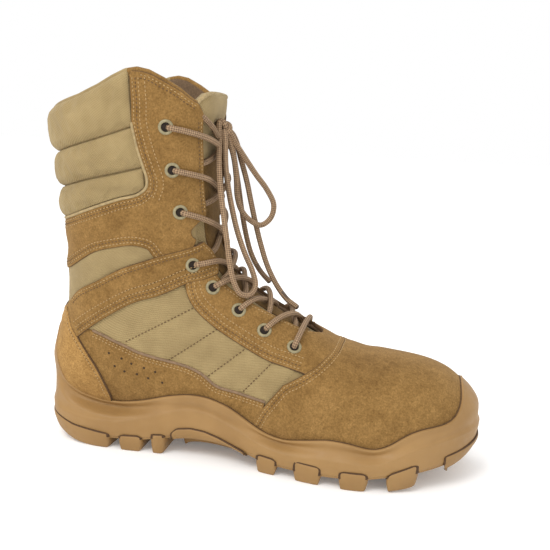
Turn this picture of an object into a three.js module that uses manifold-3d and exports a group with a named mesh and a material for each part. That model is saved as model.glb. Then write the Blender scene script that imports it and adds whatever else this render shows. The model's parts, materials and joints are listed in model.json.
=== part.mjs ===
// Right combat boot, eight inches high, empty and unbent on its sole.
// Millimetres, +X to the toe, -Y to the lateral (outer) side, +Z up.
// The shapes are worked out with X = 0 at the back of the heel, Y = 0 on the heel's centre line and Z = 0
// on the ground. The group at the end moves them so that the origin is under the middle of the boot.
import * as THREE from 'three';
import { mergeVertices } from 'three/addons/utils/BufferGeometryUtils.js';
import Module from 'manifold-3d';

const wasm = await Module();
wasm.setup();

// ---------------------------------------------------------------- driving sizes
const BOX_CENTRE_X = 149.8;      // middle of the boot's length, from the heel back
const BOX_CENTRE_Y = -2.2;       // middle of its width
const WALL = 2.4;                // suede with its lining
const PADDING = 5.5;             // added inside the wall at the padded collar
const GAP = 0.3;                 // between pieces that meet
const CUP_WALL = 4.6;            // rubber side wall around the upper
const TREAD = 3;                 // outsole plate without its lugs
const LASTING_MARGIN = 13;       // of the upper turned in under the foot
const LASTING_FROM = 18;         // stretch of the foot that the margin leaves open
const LASTING_TO = 286;
const FOOTBED = 4;
const TONGUE_DEPTH = 4.0;        // tongue's outer face below the form
const TONGUE_THICK = 3.6;
const EYELET_OUTER = 5.4;        // radius of the flange
const EYELET_BARREL = 3.3;
const EYELET_HOLE = 2.6;
const EYELET_FLANGE = 1.0;
const LACE_RADIUS = 1.9;
const SECTIONS = 28;             // along the form
const AROUND = 26;               // points in each section
const FAR = 90;                  // reach of the cutting solids

function table(columns, rows) {
  return rows.map((row) => Object.fromEntries(columns.map((column, i) => [column, row[i]])));
}

// The form of the foot and leg. Each section lies in the plane through a front point (on the toe's ridge,
// the instep or the throat) and a back point (on the sole, the heel curve or the back of the leg).
// half is half of the width, widest the place of the widest point from back (0) to front (1), and
// back and front say how square the two ends are (2 is an ellipse).
const FORM = table(
  ['name', 'frontX', 'frontZ', 'frontY', 'backX', 'backZ', 'backY', 'half', 'widest', 'back', 'front'],
  [
    ['toe end', 295.6, 44, 8, 295.6, 36, 8, 4.5, 0.5, 2, 2],
    ['toe 1', 294.3, 49.5, 8, 294.6, 31.6, 8, 12, 0.48, 2.1, 2],
    ['toe 2', 291, 55, 7.5, 291.5, 27.6, 8, 19, 0.45, 2.3, 2.1],
    ['toe 3', 285, 61, 7, 286, 24, 7, 26.5, 0.42, 2.5, 2.1],
    ['toe 4', 275.5, 67.3, 6, 277, 20.8, 5.5, 34, 0.4, 2.7, 2.2],
    ['toe 5', 262.5, 71.8, 5, 264, 18, 3, 40.5, 0.38, 2.9, 2.2],
    ['vamp 1', 246, 74.4, 4, 247, 15.8, 0, 45.2, 0.36, 3, 2.2],
    ['ball', 227, 76, 3.5, 227, 14.6, -2, 47.4, 0.35, 3, 2.2],
    ['vamp 2', 208, 79, 3, 205, 14.6, -3.6, 46.2, 0.34, 3, 2.2],
    ['vamp 3', 192, 84.6, 3, 182, 15.4, -4.6, 42.6, 0.34, 3, 2.3],
    ['instep 1', 176, 92, 3, 158, 17.2, -4.6, 38.4, 0.35, 3, 2.45],
    ['instep 2', 160, 100.5, 3, 132, 19.6, -3.4, 35.6, 0.36, 2.9, 2.65],
    ['instep 3', 145, 109.5, 3, 106, 21.6, -2, 34.6, 0.38, 2.8, 2.8],
    ['instep 4', 132, 119, 2.5, 80, 22.4, -1, 34.8, 0.4, 2.7, 2.95],
    ['ankle 1', 123, 129, 2, 52, 22.6, -0.5, 35.6, 0.42, 2.6, 3.05],
    ['ankle 2', 118, 139.5, 2, 28, 24.4, 0, 36.4, 0.44, 2.5, 3.15],
    ['heel', 115.8, 150, 1.5, 9.5, 32.5, 0, 37.2, 0.45, 2.4, 3.2],
    ['heel curve', 114.6, 161, 1, 2.6, 52, 0, 38.2, 0.45, 2.35, 3.2],
    ['heel top', 114, 172, 1, 6.6, 76, 0, 39, 0.45, 2.3, 3.2],
    ['tendon 1', 113.4, 184, 0.5, 10.2, 101, 0, 39.6, 0.45, 2.3, 3.2],
    ['tendon 2', 113, 196, 0.5, 10.6, 127, 0, 40.6, 0.45, 2.3, 3.2],
    ['leg 1', 113, 208, 0, 9.6, 152, 0, 42, 0.45, 2.3, 3.2],
    ['leg 2', 113.4, 221, 0, 7, 178, 0, 43.4, 0.45, 2.3, 3.1],
    ['leg 3', 114.6, 236, 0, 3, 204, 0, 44.6, 0.45, 2.3, 3],
    ['collar', 116, 254, 0, -1.6, 232, 0, 45.4, 0.45, 2.3, 2.8],
    ['above collar', 117, 274, 0, -3.6, 262, 0, 45.6, 0.45, 2.3, 2.8],
  ],
);

// Outline of the sole from above, at the top of its side wall.
const SOLE_OUTLINE = table(['x', 'lateral', 'medial'], [
  [-0.6, -5, 5], [1.2, -14, 14], [6, -23.5, 23.5], [14, -30, 30], [26, -35, 34.5], [44, -38, 37.2],
  [62, -38.4, 37], [84, -37.4, 34.6], [106, -37, 32.6], [130, -39, 33], [156, -44.6, 36.8],
  [182, -50.6, 42.4], [206, -54.6, 47.4], [228, -54.8, 50.4], [248, -50.6, 50.2], [264, -44, 48],
  [278, -34.6, 43.4], [288, -25.2, 37.2], [295, -14.6, 29], [299, -4, 20], [300.3, 4, 12],
]);

// Heights along the sole: ground line, underside of the outsole plate, soft ridge and top edge of the wall.
const SOLE_HEIGHTS = table(['x', 'ground', 'tread', 'ridge', 'edge'], [
  [-2, 13.4, 15.6, 41, 80], [6, 8, 11.8, 36.6, 79], [7.5, 7.2, 11.3, 35.6, 66], [9, 6.4, 10.7, 34.6, 50],
  [14, 4.4, 9.3, 31.6, 40.6], [24, 1.4, 8, 26.6, 34],
  [40, 0, 7.4, 23, 30.8], [56, 0, 7.4, 22.4, 30.4], [74, 0, 8, 25, 34.6], [92, 0, 11.6, 30.4, 41],
  [108, 6, 14.6, 34.4, 44.6], [122, 6, 15, 33, 44], [137, 4, 13.6, 27.6, 39.6], [152, 0, 9.4, 23, 30.6],
  [162, 0, 7, 19.4, 24.6], [173, 0, 6.2, 17.6, 22.6], [187, 0, 6, 17.8, 26], [204, 0, 6.2, 19.8, 29.6],
  [218, 0, 6.8, 19, 28.8], [234, 0, 8.2, 18, 25.4], [243, 0.6, 9.6, 20.6, 28], [255, 2.2, 11, 27.6, 36.4],
  [264, 4, 12.6, 31.4, 39.6], [270, 9.6, 13.5, 33.3, 40.4], [278, 11.4, 15, 35.4, 41.4],
  [284, 13.4, 16.6, 36.4, 43], [289, 15.4, 18.6, 37, 47.4], [293, 17.4, 20.7, 37.4, 55],
  [297, 19.8, 23.2, 37.6, 61], [302, 23, 26.4, 38, 63],
]);

// Lugs of the tread: from and to along X, and how far from the centre line they begin and end.
const LUGS = table(['name', 'from', 'to', 'inner', 'outer', 'side'], [
  ['heel back', -4, 26, 0, 60, 'both'], ['heel side', 24, 54, 15, 60, 'each'],
  ['heel middle', 31, 48, -10, 10, 'centre'], ['heel front', 59, 75, 6, 60, 'each'],
  ['heel breast', 80, 93, 0, 60, 'both'], ['arch', 100, 142, 12, 24, 'each'],
  ['waist', 157, 171, 8, 60, 'each'], ['ball middle 1', 176, 190, -15, 15, 'centre'],
  ['ball back', 183, 202, 22, 60, 'each'], ['ball middle 2', 198, 212, -15, 15, 'centre'],
  ['ball front', 213, 232, 22, 60, 'each'], ['ball middle 3', 220, 234, -15, 15, 'centre'],
  ['toe side', 243, 261, 20, 60, 'each'], ['toe middle', 243, 262, -12, 14, 'centre'],
  ['toe tip', 271, 292, 0, 60, 'both'],
]);
const LUG_TAPER = 1.6;           // each side of a lug leans in this much

// Half of the opening between the two facings, along the front of the form (place is its row number).
const THROAT = table(['place', 'half'], [
  [9.1, 3], [9.35, 9], [9.8, 13], [11, 17], [12, 19.5], [13, 21.5], [14, 23.5], [15.4, 25.5],
  [16.2, 30.5], [17.2, 31], [17.9, 27], [19, 28.5], [21, 30.5], [23, 33], [25, 37],
]);

// Collar edge seen from the side.
const COLLAR = [
  [-30, 226], [0, 227], [14, 231.5], [30, 236.5], [44, 243], [54, 249], [62, 253], [70, 254.4],
  [78, 253], [88, 248.4], [98, 242.6], [106, 236], [160, 190],
];

// Eyelets, from the collar down to the vamp.
const EYELETS = table(['x', 'z'], [
  [88.9, 220.5], [93, 193.8], [97.4, 166.8], [105, 131.7], [118.3, 116.6], [136.4, 102.2], [154.8, 90.3],
  [175.6, 81],
]);

// ---------------------------------------------------------------- curves and the form
function smooth(a, b, c, d, t) {
  const ahead = 2 * a - 5 * b + 4 * c - d;
  return 0.5 * (2 * b + (c - a) * t + ahead * t * t + (3 * b - a - 3 * c + d) * t * t * t);
}

function formRow(place) {
  const last = FORM.length - 1;
  const i = Math.min(Math.floor(place), last - 1);
  const near = [i - 1, i, i + 1, i + 2].map((k) => FORM[Math.max(0, Math.min(last, k))]);
  const row = {};
  for (const column of Object.keys(FORM[0])) {
    if (column !== 'name') row[column] = smooth(...near.map((r) => r[column]), place - i);
  }
  return row;
}

// Reads a table's column at a value of its first column, in straight steps.
function read(rows, key, column, value) {
  const next = rows.findIndex((row) => row[key] >= value);
  if (next < 0) return rows[rows.length - 1][column];
  if (next === 0) return rows[0][column];
  const [a, b] = [rows[next - 1], rows[next]];
  return a[column] + (b[column] - a[column]) * (value - a[key]) / (b[key] - a[key]);
}

const DENSE = 48;
const outlines = new Map();

// Lateral half of one section, from front to back, as [height along the chord, half width, arc length].
function halfOutline(place) {
  if (outlines.has(place)) return outlines.get(place);
  const row = formRow(place);
  const points = [];
  for (let i = 0; i <= 2 * DENSE; i += 1) {
    const front = i <= DENSE;
    const angle = (Math.PI / 2) * (front ? i / DENSE : (2 * DENSE - i) / DENSE);
    const power = 2 / (front ? row.front : row.back);
    const rise = Math.cos(angle) ** power;
    const s = front ? row.widest + (1 - row.widest) * rise : row.widest * (1 - rise);
    points.push([s, row.half * Math.sin(angle) ** power, 0]);
  }
  const chord = Math.hypot(row.frontX - row.backX, row.frontZ - row.backZ);
  for (let i = 1; i < points.length; i += 1) {
    const [a, b] = [points[i - 1], points[i]];
    b[2] = a[2] + Math.hypot((b[0] - a[0]) * chord, b[1] - a[1]);
  }
  outlines.set(place, { row, points });
  return outlines.get(place);
}

// A point of the form: around runs from the front (0) by the lateral side to the back (0.5) and on.
function formPoint(place, around) {
  const { row, points } = halfOutline(place);
  const turn = around - Math.floor(around);
  const lateral = turn <= 0.5;
  const length = points[points.length - 1][2] * (lateral ? turn : 1 - turn) * 2;
  let k = 1;
  while (k < points.length - 1 && points[k][2] < length) k += 1;
  const [a, b] = [points[k - 1], points[k]];
  const t = (length - a[2]) / (b[2] - a[2]);
  const s = a[0] + (b[0] - a[0]) * t;
  const half = a[1] + (b[1] - a[1]) * t;
  return new THREE.Vector3(
    row.backX + (row.frontX - row.backX) * s,
    row.backY + (row.frontY - row.backY) * s + (lateral ? -half : half),
    row.backZ + (row.frontZ - row.backZ) * s,
  );
}

function formNormal(place, around) {
  const step = 0.02;
  const last = FORM.length - 1;
  const along = formPoint(Math.min(last, place + step), around).sub(formPoint(Math.max(0, place - step), around));
  const across = formPoint(place, around + step / 2).sub(formPoint(place, around - step / 2));
  return across.cross(along).normalize().negate();
}

function onForm(place, around, height) {
  return formPoint(place, around).addScaledVector(formNormal(place, around), height);
}

// ---------------------------------------------------------------- closed solids
function closedLoft(rings) {
  const count = rings[0].length;
  const positions = rings.flat().flatMap((p) => [p.x, p.y, p.z]);
  const faces = [];
  for (let r = 0; r + 1 < rings.length; r += 1) {
    for (let i = 0; i < count; i += 1) {
      const a = r * count + i;
      const b = r * count + ((i + 1) % count);
      faces.push(a, b, b + count, a, b + count, a + count);
    }
  }
  for (const [ring, flip] of [[0, true], [rings.length - 1, false]]) {
    const centre = rings[ring].reduce((sum, p) => sum.add(p), new THREE.Vector3()).divideScalar(count);
    positions.push(centre.x, centre.y, centre.z);
    const c = positions.length / 3 - 1;
    for (let i = 0; i < count; i += 1) {
      const a = ring * count + i;
      const b = ring * count + ((i + 1) % count);
      faces.push(...(flip ? [b, a, c] : [a, b, c]));
    }
  }
  const geometry = new THREE.BufferGeometry();
  geometry.setAttribute('position', new THREE.Float32BufferAttribute(positions, 3));
  geometry.setIndex(faces);
  return geometry;
}

function solid(geometry) {
  const plain = geometry.clone();
  plain.deleteAttribute('normal');
  plain.deleteAttribute('uv');
  const merged = mergeVertices(plain, 1e-4);
  const make = (triangles) => new wasm.Manifold(new wasm.Mesh({
    numProp: 3,
    vertProperties: new Float32Array(merged.attributes.position.array),
    triVerts: new Uint32Array(triangles),
  }));
  const triangles = Array.from(merged.index.array);
  const made = make(triangles);
  return made.volume() > 0 ? made : make(triangles.reverse());
}

function geometryOf(manifold) {
  const mesh = manifold.getMesh();
  const geometry = new THREE.BufferGeometry();
  geometry.setAttribute('position', new THREE.BufferAttribute(new Float32Array(mesh.vertProperties), 3));
  geometry.setIndex(new THREE.BufferAttribute(new Uint32Array(mesh.triVerts), 1));
  return geometry;
}

// A closed solid between two heights above a stretch of the form.
function formSolid(height, firstPlace = 0, sections = SECTIONS) {
  const rings = [];
  for (let k = 0; k <= sections; k += 1) {
    const place = firstPlace + (FORM.length - 1 - firstPlace) * (k / sections);
    const ring = [];
    for (let i = 0; i < AROUND; i += 1) {
      const point = formPoint(place, i / AROUND);
      ring.push(onForm(place, i / AROUND, typeof height === 'function' ? height(point) : height));
    }
    rings.push(ring);
  }
  return solid(closedLoft(rings));
}

// A side-view outline (x, z) pulled straight across the boot.
function acrossSolid(points) {
  const outline = new THREE.Shape(points.map(([x, z]) => new THREE.Vector2(x, z)));
  const geometry = new THREE.ExtrudeGeometry(outline, { depth: 2 * FAR, bevelEnabled: false });
  geometry.rotateX(Math.PI / 2);
  geometry.translate(0, FAR, 0);
  return solid(geometry);
}

// A plan outline pulled straight up.
function upSolid(points, low, high) {
  const outline = new THREE.Shape(points.map(([x, y]) => new THREE.Vector2(x, y)));
  const geometry = new THREE.ExtrudeGeometry(outline, { depth: high - low, bevelEnabled: false });
  geometry.translate(0, 0, low);
  return solid(geometry);
}

function bandAcross(lower, upper) {
  const xs = SOLE_HEIGHTS.map((row) => row.x);
  const below = xs.map((x) => [x, lower(x)]);
  const above = xs.map((x) => [x, upper(x)]).reverse();
  return acrossSolid([...below, ...above]);
}

const heights = (column) => (x) => read(SOLE_HEIGHTS, 'x', column, x);

function outlineSolid(inset) {
  const side = (column, sign) => SOLE_OUTLINE.map((row) => [row.x, row[column] + sign * inset]);
  return upSolid([...side('lateral', 1), ...side('medial', -1).reverse()], -1, FAR);
}

// ---------------------------------------------------------------- upper
function collarPadding(point) {
  const up = THREE.MathUtils.smoothstep(point.z, 176, 192);
  const back = 1 - THREE.MathUtils.smoothstep(point.x, 58, 78);
  return -(WALL + PADDING * up * back);
}

function throatCut() {
  const rings = THROAT.map(({ place, half }) => {
    const front = formPoint(place, 0);
    const out = formNormal(place, 0);
    const corner = (y, height) => new THREE.Vector3(
      front.x + out.x * height, front.y + y, front.z + out.z * height);
    return [corner(-half, 22), corner(half, 22), corner(half, -26), corner(-half, -26)];
  });
  return solid(closedLoft(rings));
}

// Finds the form's coordinates of a point seen from the side.
function placeOnForm(x, z) {
  let best = { place: 18, around: 0.2 };
  const miss = ({ place, around }) => {
    const p = formPoint(place, around);
    return Math.hypot(p.x - x, p.z - z);
  };
  for (let step = 4; step > 0.001; step *= 0.7) {
    for (const [dp, da] of [[1, 0], [-1, 0], [0, 1], [0, -1], [1, 1], [-1, -1], [1, -1], [-1, 1]]) {
      const place = THREE.MathUtils.clamp(best.place + dp * step, 0, FORM.length - 1);
      const around = THREE.MathUtils.clamp(best.around + da * step * 0.05, 0.01, 0.49);
      if (miss({ place, around }) < miss(best)) best = { place, around };
    }
  }
  return best;
}

const eyeletPlaces = EYELETS.map(({ x, z }) => placeOnForm(x, z));

function standOn(geometry, place, around) {
  const turn = new THREE.Quaternion().setFromUnitVectors(new THREE.Vector3(0, 1, 0), formNormal(place, around));
  const at = formPoint(place, around);
  geometry.applyQuaternion(turn);
  geometry.translate(at.x, at.y, at.z);
  return geometry;
}


function upperGeometry() {
  const aboveCollar = acrossSolid([...COLLAR, [160, 300], [-30, 300]]);
  const covered = SOLE_OUTLINE.filter(({ x }) => x > LASTING_FROM && x < LASTING_TO);
  const margin = CUP_WALL + LASTING_MARGIN;
  const opening = [
    ...covered.map((row) => [row.x, row.lateral + margin]),
    ...covered.map((row) => [row.x, row.medial - margin]).reverse(),
  ];
  let upper = formSolid(0).subtract(formSolid(collarPadding));
  upper = upper.subtract(throatCut()).subtract(aboveCollar).subtract(upSolid(opening, 5, 26));
  for (const { place, around } of eyeletPlaces) {
    for (const side of [around, 1 - around]) {
      const bore = new THREE.CylinderGeometry(EYELET_BARREL + GAP, EYELET_BARREL + GAP, 14, 10);
      upper = upper.subtract(solid(standOn(bore, place, side)));
    }
  }
  return geometryOf(upper);
}

// ---------------------------------------------------------------- sole
const tread = heights('tread');
const edge = heights('edge');
const ground = heights('ground');

function midsoleGeometry() {
  const underside = (x) => tread(x) + TREAD + GAP;
  const block = outlineSolid(0).intersect(bandAcross(underside, heights('ridge')));
  const wall = formSolid(CUP_WALL).intersect(bandAcross(underside, edge));
  return geometryOf(block.add(wall).subtract(formSolid(GAP)));
}

function lugSolid(lug, sign) {
  const top = tread((lug.from + lug.to) / 2) + 1;
  const inner = lug.side === 'both' ? -lug.outer : lug.inner;
  const box = new THREE.BoxGeometry(1, 1, 1);
  const corners = box.attributes.position;
  for (let i = 0; i < corners.count; i += 1) {
    const lean = corners.getZ(i) < 0 ? LUG_TAPER : 0;
    const x = corners.getX(i) < 0 ? lug.from + lean : lug.to - lean;
    const y = corners.getY(i) < 0 ? inner + lean : lug.outer - lean;
    const z = corners.getZ(i) < 0 ? ground(x) : top;
    corners.setXYZ(i, x, sign * y, z);
  }
  return solid(box);
}

function outsoleGeometry() {
  let sole = bandAcross(tread, (x) => tread(x) + TREAD);
  for (const lug of LUGS) {
    sole = sole.add(lugSolid(lug, 1));
    if (lug.side === 'each') sole = sole.add(lugSolid(lug, -1));
  }
  const below = bandAcross(() => -1, (x) => tread(x) + TREAD);
  return geometryOf(sole.intersect(outlineSolid(0.6)).intersect(below));
}

function insoleGeometry() {
  const inner = formSolid(-(WALL + GAP));
  const bottom = (x) => read([...FORM].filter(({ backX, backZ }) => backZ < 42).reverse(), 'backX', 'backZ', x);
  const band = bandAcross((x) => bottom(x) - 5, (x) => bottom(x) + WALL + GAP + FOOTBED);
  return geometryOf(inner.intersect(band));
}

// ---------------------------------------------------------------- tongue
const TONGUE = table(['place', 'half'], [
  [8.7, 14], [9.6, 19], [11, 24], [12, 26], [13, 28], [14, 30], [15, 32], [16, 34.5], [17, 35], [18, 35],
  [19.5, 35.5], [21, 37], [22.4, 38],
  [22.9, 37.5], [23.25, 34], [23.45, 27],
]);
const TONGUE_STEPS = 10;

function aroundAt(place, y) {
  let [low, high] = [0, 0.45];
  for (let i = 0; i < 20; i += 1) {
    const middle = (low + high) / 2;
    if (formPoint(place, middle).y - formPoint(place, 0).y < -y) high = middle;
    else low = middle;
  }
  return low;
}

function tongueGeometry() {
  const rings = TONGUE.map(({ place, half }) => {
    const reach = aroundAt(place, half);
    const spots = [];
    for (let i = 0; i <= TONGUE_STEPS; i += 1) spots.push(reach * (1 - (2 * i) / TONGUE_STEPS));
    const outer = spots.map((around) => onForm(place, around, -TONGUE_DEPTH));
    const inner = spots.map((around) => onForm(place, around, -TONGUE_DEPTH - TONGUE_THICK)).reverse();
    return [...outer, ...inner];
  });
  return geometryOf(solid(closedLoft(rings)));
}

// ---------------------------------------------------------------- eyelets
function eyeletGeometry() {
  const top = GAP + EYELET_FLANGE;
  const profile = [
    [EYELET_HOLE, -WALL], [EYELET_BARREL, -WALL], [EYELET_BARREL, GAP], [EYELET_OUTER, GAP],
    [EYELET_HOLE, top], [EYELET_HOLE, -WALL],
  ].map(([radius, height]) => new THREE.Vector2(radius, height));
  return new THREE.LatheGeometry(profile, 10);
}

// ---------------------------------------------------------------- laces
const LACE_SIDES = 8;
const LACE_OVER_EYELET = EYELET_FLANGE + 2 * GAP + LACE_RADIUS;
const LACE_OVER_FACING = LACE_RADIUS + 0.8;
const LACE_AT_CENTRE = 1.6;      // height of the crossing's middle over the form
const LACE_AT_EDGE = 0.4;       // height where a strand dives beside the other facing

function laceTube(points, steps) {
  const section = new THREE.Shape();
  for (let i = 0; i < LACE_SIDES; i += 1) {
    const angle = (2 * Math.PI * i) / LACE_SIDES;
    const corner = [LACE_RADIUS * Math.cos(angle), LACE_RADIUS * Math.sin(angle)];
    if (i === 0) section.moveTo(...corner);
    else section.lineTo(...corner);
  }
  section.closePath();
  const path = new THREE.CatmullRomCurve3(points, false, 'centripetal');
  return new THREE.ExtrudeGeometry(section, { extrudePath: path, steps, bevelEnabled: false });
}

function throatHalf(place) {
  return read(THROAT, 'place', 'half', place);
}

// A strand lies over one facing from its eyelet, crosses the throat and dives beside the other facing.
function strand(top, bottom, sign) {
  const middle = (top.place + bottom.place) / 2;
  const at = (place, around, height) => onForm(place, sign > 0 ? around : 1 - around, height);
  const edgePlace = top.place + (middle - top.place) * 0.55;
  const edgeAround = aroundAt(edgePlace, throatHalf(edgePlace));
  const farPlace = middle + (bottom.place - middle) * 0.45;
  const farAround = -aroundAt(farPlace, throatHalf(farPlace) - 4.5);
  return [
    at(top.place, top.around * 0.98, LACE_OVER_EYELET),
    at((top.place + edgePlace) / 2, (top.around + edgeAround) / 2, LACE_OVER_FACING + 0.6),
    at(edgePlace, edgeAround, LACE_OVER_FACING),
    at(middle, 0, LACE_AT_CENTRE),
    at(farPlace, farAround, LACE_AT_EDGE),
  ];
}

function crossingGeometry(top, bottom) {
  const [one, two] = [1, -1].map((sign) => solid(laceTube(strand(top, bottom, sign), 7)));
  return geometryOf(one.add(two));
}

function barGeometry(spot) {
  const path = [0.98, 0.5, 0, -0.5, -0.98].map((share) => {
    const height = LACE_OVER_EYELET + (1 - Math.abs(share)) * 0.6;
    return onForm(spot.place, spot.around * share, height);
  });
  return geometryOf(solid(laceTube(path, 9)));
}

// The bow hangs in front of the throat. Its routes are laid by hand.
const KNOT = [[111, -7, 224.5], [116.5, -11, 221], [121, -6, 218.5], [117.5, 1.5, 221.5]];
const LOOP_FRONT = [
  [124, -3.5, 213.5], [130, 0, 204], [138, 4, 192], [146, 8, 181], [150.6, 10, 171], [149, 9, 162],
  [143, 6, 157], [135.5, 3, 160.5], [130, 1, 167], [127, 0, 176], [126.4, -1, 188], [125.4, -2.5, 202],
];
const LOOP_THROAT = [
  [119.6, -12, 214], [121, -12.6, 197], [123.4, -13, 183], [127, -13, 168], [131.4, -12.8, 153],
  [137, -12.4, 139], [142.6, -12.4, 127.6], [145.6, -15.4, 118.6], [143.2, -20.4, 113.4],
  [137.6, -24.6, 114.4], [133.6, -25.8, 121], [130, -25.2, 133], [126.6, -23.6, 150], [123, -21.6, 168],
  [120.4, -20, 184], [117.6, -18, 201],
];
const END_FRONT = [
  [123.4, 3.6, 214.5], [127.4, 6, 200], [131.4, 8, 186], [134.6, 9.6, 172], [138, 11, 158],
  [142.4, 11.4, 143], [148, 11.2, 128], [154.8, 10.4, 116], [163, 9, 106.4], [171, 7.5, 101.4],
];
const END_THROAT = [
  [119, 9.4, 214], [121.4, 12.6, 198], [124, 14.8, 182], [126.6, 16.2, 166], [129.8, 17.4, 150],
  [134.4, 18, 135], [141, 18, 123.6], [148.6, 17.4, 116],
];

function cordGeometry(route, steps) {
  return laceTube(route.map((point) => new THREE.Vector3(...point)), steps);
}

// ---------------------------------------------------------------- assembly
const boot = new THREE.Group();
boot.position.set(-BOX_CENTRE_X, -BOX_CENTRE_Y, 0);

function finish(color, roughness, metalness = 0) {
  return new THREE.MeshStandardMaterial({ color, roughness, metalness });
}

function add(name, geometry, material) {
  const mesh = new THREE.Mesh(geometry, material);
  mesh.name = name;
  boot.add(mesh);
}

const rubber = () => finish(0xa9753f, 0.7);
const suede = () => finish(0xa8763f, 0.95);
const braid = () => finish(0x8d6a48, 0.85);

add('outsole', outsoleGeometry(), rubber());
add('midsole', midsoleGeometry(), rubber());
add('insole', insoleGeometry(), finish(0x8a6a42, 0.9));
add('upper', upperGeometry(), suede());
add('tongue', tongueGeometry(), finish(0xb29a66, 0.9));
eyeletPlaces.forEach(({ place, around }, i) => {
  for (const [side, at] of [['lateral', around], ['medial', 1 - around]]) {
    const geometry = geometryOf(solid(standOn(eyeletGeometry(), place, at)));
    add(`eyelet_${side}_${i + 1}`, geometry, finish(0xa89b74, 0.5, 0.2));
  }
});

eyeletPlaces.slice(1).forEach((bottom, i) => {
  add(`lace_crossing_${i + 1}`, crossingGeometry(eyeletPlaces[i], bottom), braid());
});
add('lace_bar', barGeometry(eyeletPlaces[eyeletPlaces.length - 1]), braid());
add('lace_knot', cordGeometry(KNOT, 5), braid());
add('lace_loop_front', cordGeometry(LOOP_FRONT, 18), braid());
add('lace_loop_throat', cordGeometry(LOOP_THROAT, 24), braid());
add('lace_end_front', cordGeometry(END_FRONT, 14), braid());
add('lace_end_throat', cordGeometry(END_THROAT, 12), braid());

export default boot;
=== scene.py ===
# %% [markdown]
# # A laced combat boot around its packed design
# The design holds the true sizes: the form of the upper, the sole, the tongue, the eyelets and the lace.
# This lesson keeps every piece where the design has it and makes each one again as a maker would:
# suede and woven panels cut to shape and stitched over a lining, a moulded cup sole, turned eyelets
# and a braided lace. Lengths inside the helpers are millimetres in the boot's own directions: X from the
# back of the heel to the toe, -Y to the outer (lateral) side, Z up from the ground.

import json
import math

import bmesh
import bpy
import numpy as np
from mathutils import Matrix, Vector
from mathutils.bvhtree import BVHTree
from mathutils.geometry import delaunay_2d_cdt


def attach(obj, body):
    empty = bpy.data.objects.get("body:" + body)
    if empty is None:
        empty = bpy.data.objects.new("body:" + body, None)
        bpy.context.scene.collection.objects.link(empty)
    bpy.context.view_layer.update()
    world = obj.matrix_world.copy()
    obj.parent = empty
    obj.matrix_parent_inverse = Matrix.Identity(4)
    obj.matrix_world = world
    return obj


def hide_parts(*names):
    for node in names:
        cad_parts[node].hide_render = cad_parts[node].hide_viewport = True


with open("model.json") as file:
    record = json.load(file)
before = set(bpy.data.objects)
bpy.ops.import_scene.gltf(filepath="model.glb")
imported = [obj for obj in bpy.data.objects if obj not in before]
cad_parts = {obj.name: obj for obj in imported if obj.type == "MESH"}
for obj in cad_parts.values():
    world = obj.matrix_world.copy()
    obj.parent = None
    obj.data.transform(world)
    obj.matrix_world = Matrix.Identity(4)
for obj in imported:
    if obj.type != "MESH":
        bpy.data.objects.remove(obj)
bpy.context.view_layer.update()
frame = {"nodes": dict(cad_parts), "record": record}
MM = 0.001
HEEL_FLAT = np.array([86.5, 0.0, 0.0])    # where the heel's flat mount lies, from the back of the heel
heel_mount = next(m for m in frame["record"]["mounts"] if m["name"] == "heel_ground_face")
origin = HEEL_FLAT - np.array(heel_mount["pos_m"]) / MM
print("heel back to origin, mm:", origin.round(1), "nodes:", len(frame["nodes"]))


def metres(points):
    """Boot millimetres to the frame's metres."""
    return (np.asarray(points, float) - origin) * MM


# %% [markdown]
# ## Camera, light and floor
# A product shot: the camera stands at the height of the collar on the lateral side, a little towards
# the toe, and rolls slightly. One large soft key, a fill and a pale floor keep suede and rubber readable.

# %% Camera, lights and floor
CAMERA_AT = np.array([254.0, -530.0, 226.0])
AZIMUTH, PITCH, ROLL = (math.radians(a) for a in (10.5, 10.7, 2.9))
FOCAL_TO_WIDTH = 16.0 / 11.0
SENSOR = 36.0

ahead = (-math.sin(AZIMUTH) * math.cos(PITCH), math.cos(AZIMUTH) * math.cos(PITCH), -math.sin(PITCH))
forward = Vector(ahead)
level = Vector((math.cos(AZIMUTH), math.sin(AZIMUTH), 0.0))
upright = level.cross(forward)
right = math.cos(ROLL) * level + math.sin(ROLL) * upright
up = right.cross(forward)
camera_data = bpy.data.cameras.new("camera")
camera_data.sensor_width = SENSOR
camera_data.lens = SENSOR * FOCAL_TO_WIDTH
camera = bpy.data.objects.new("camera", camera_data)
bpy.context.scene.collection.objects.link(camera)
turn = Matrix((right, up, -forward)).transposed().to_4x4()
camera.matrix_world = Matrix.Translation(Vector(metres(CAMERA_AT))) @ turn
bpy.context.scene.camera = camera


def area_light(name, at, size, power, colour=(1.0, 1.0, 1.0)):
    data = bpy.data.lights.new(name, "AREA")
    data.shape = "DISK"
    data.size, data.energy, data.color = size, power, colour
    lamp = bpy.data.objects.new(name, data)
    bpy.context.scene.collection.objects.link(lamp)
    lamp.location = at
    aim = Vector((0.0, 0.0, 0.1)) - Vector(at)
    lamp.rotation_euler = aim.to_track_quat("-Z", "Y").to_euler()


area_light("key", (-0.45, -0.85, 1.15), 0.7, 9.0, (1.0, 0.985, 0.96))
area_light("fill", (1.1, -0.8, 0.6), 1.0, 2.0, (0.95, 0.97, 1.0))
area_light("rim", (-0.7, 0.9, 0.9), 0.8, 4.0)
world = bpy.data.worlds.new("studio")
world.use_nodes = True
world.node_tree.nodes["Background"].inputs["Color"].default_value = (1.0, 1.0, 1.0, 1.0)
world.node_tree.nodes["Background"].inputs["Strength"].default_value = 1.0
bpy.context.scene.world = world
bpy.context.scene.view_settings.view_transform = "Standard"

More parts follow.
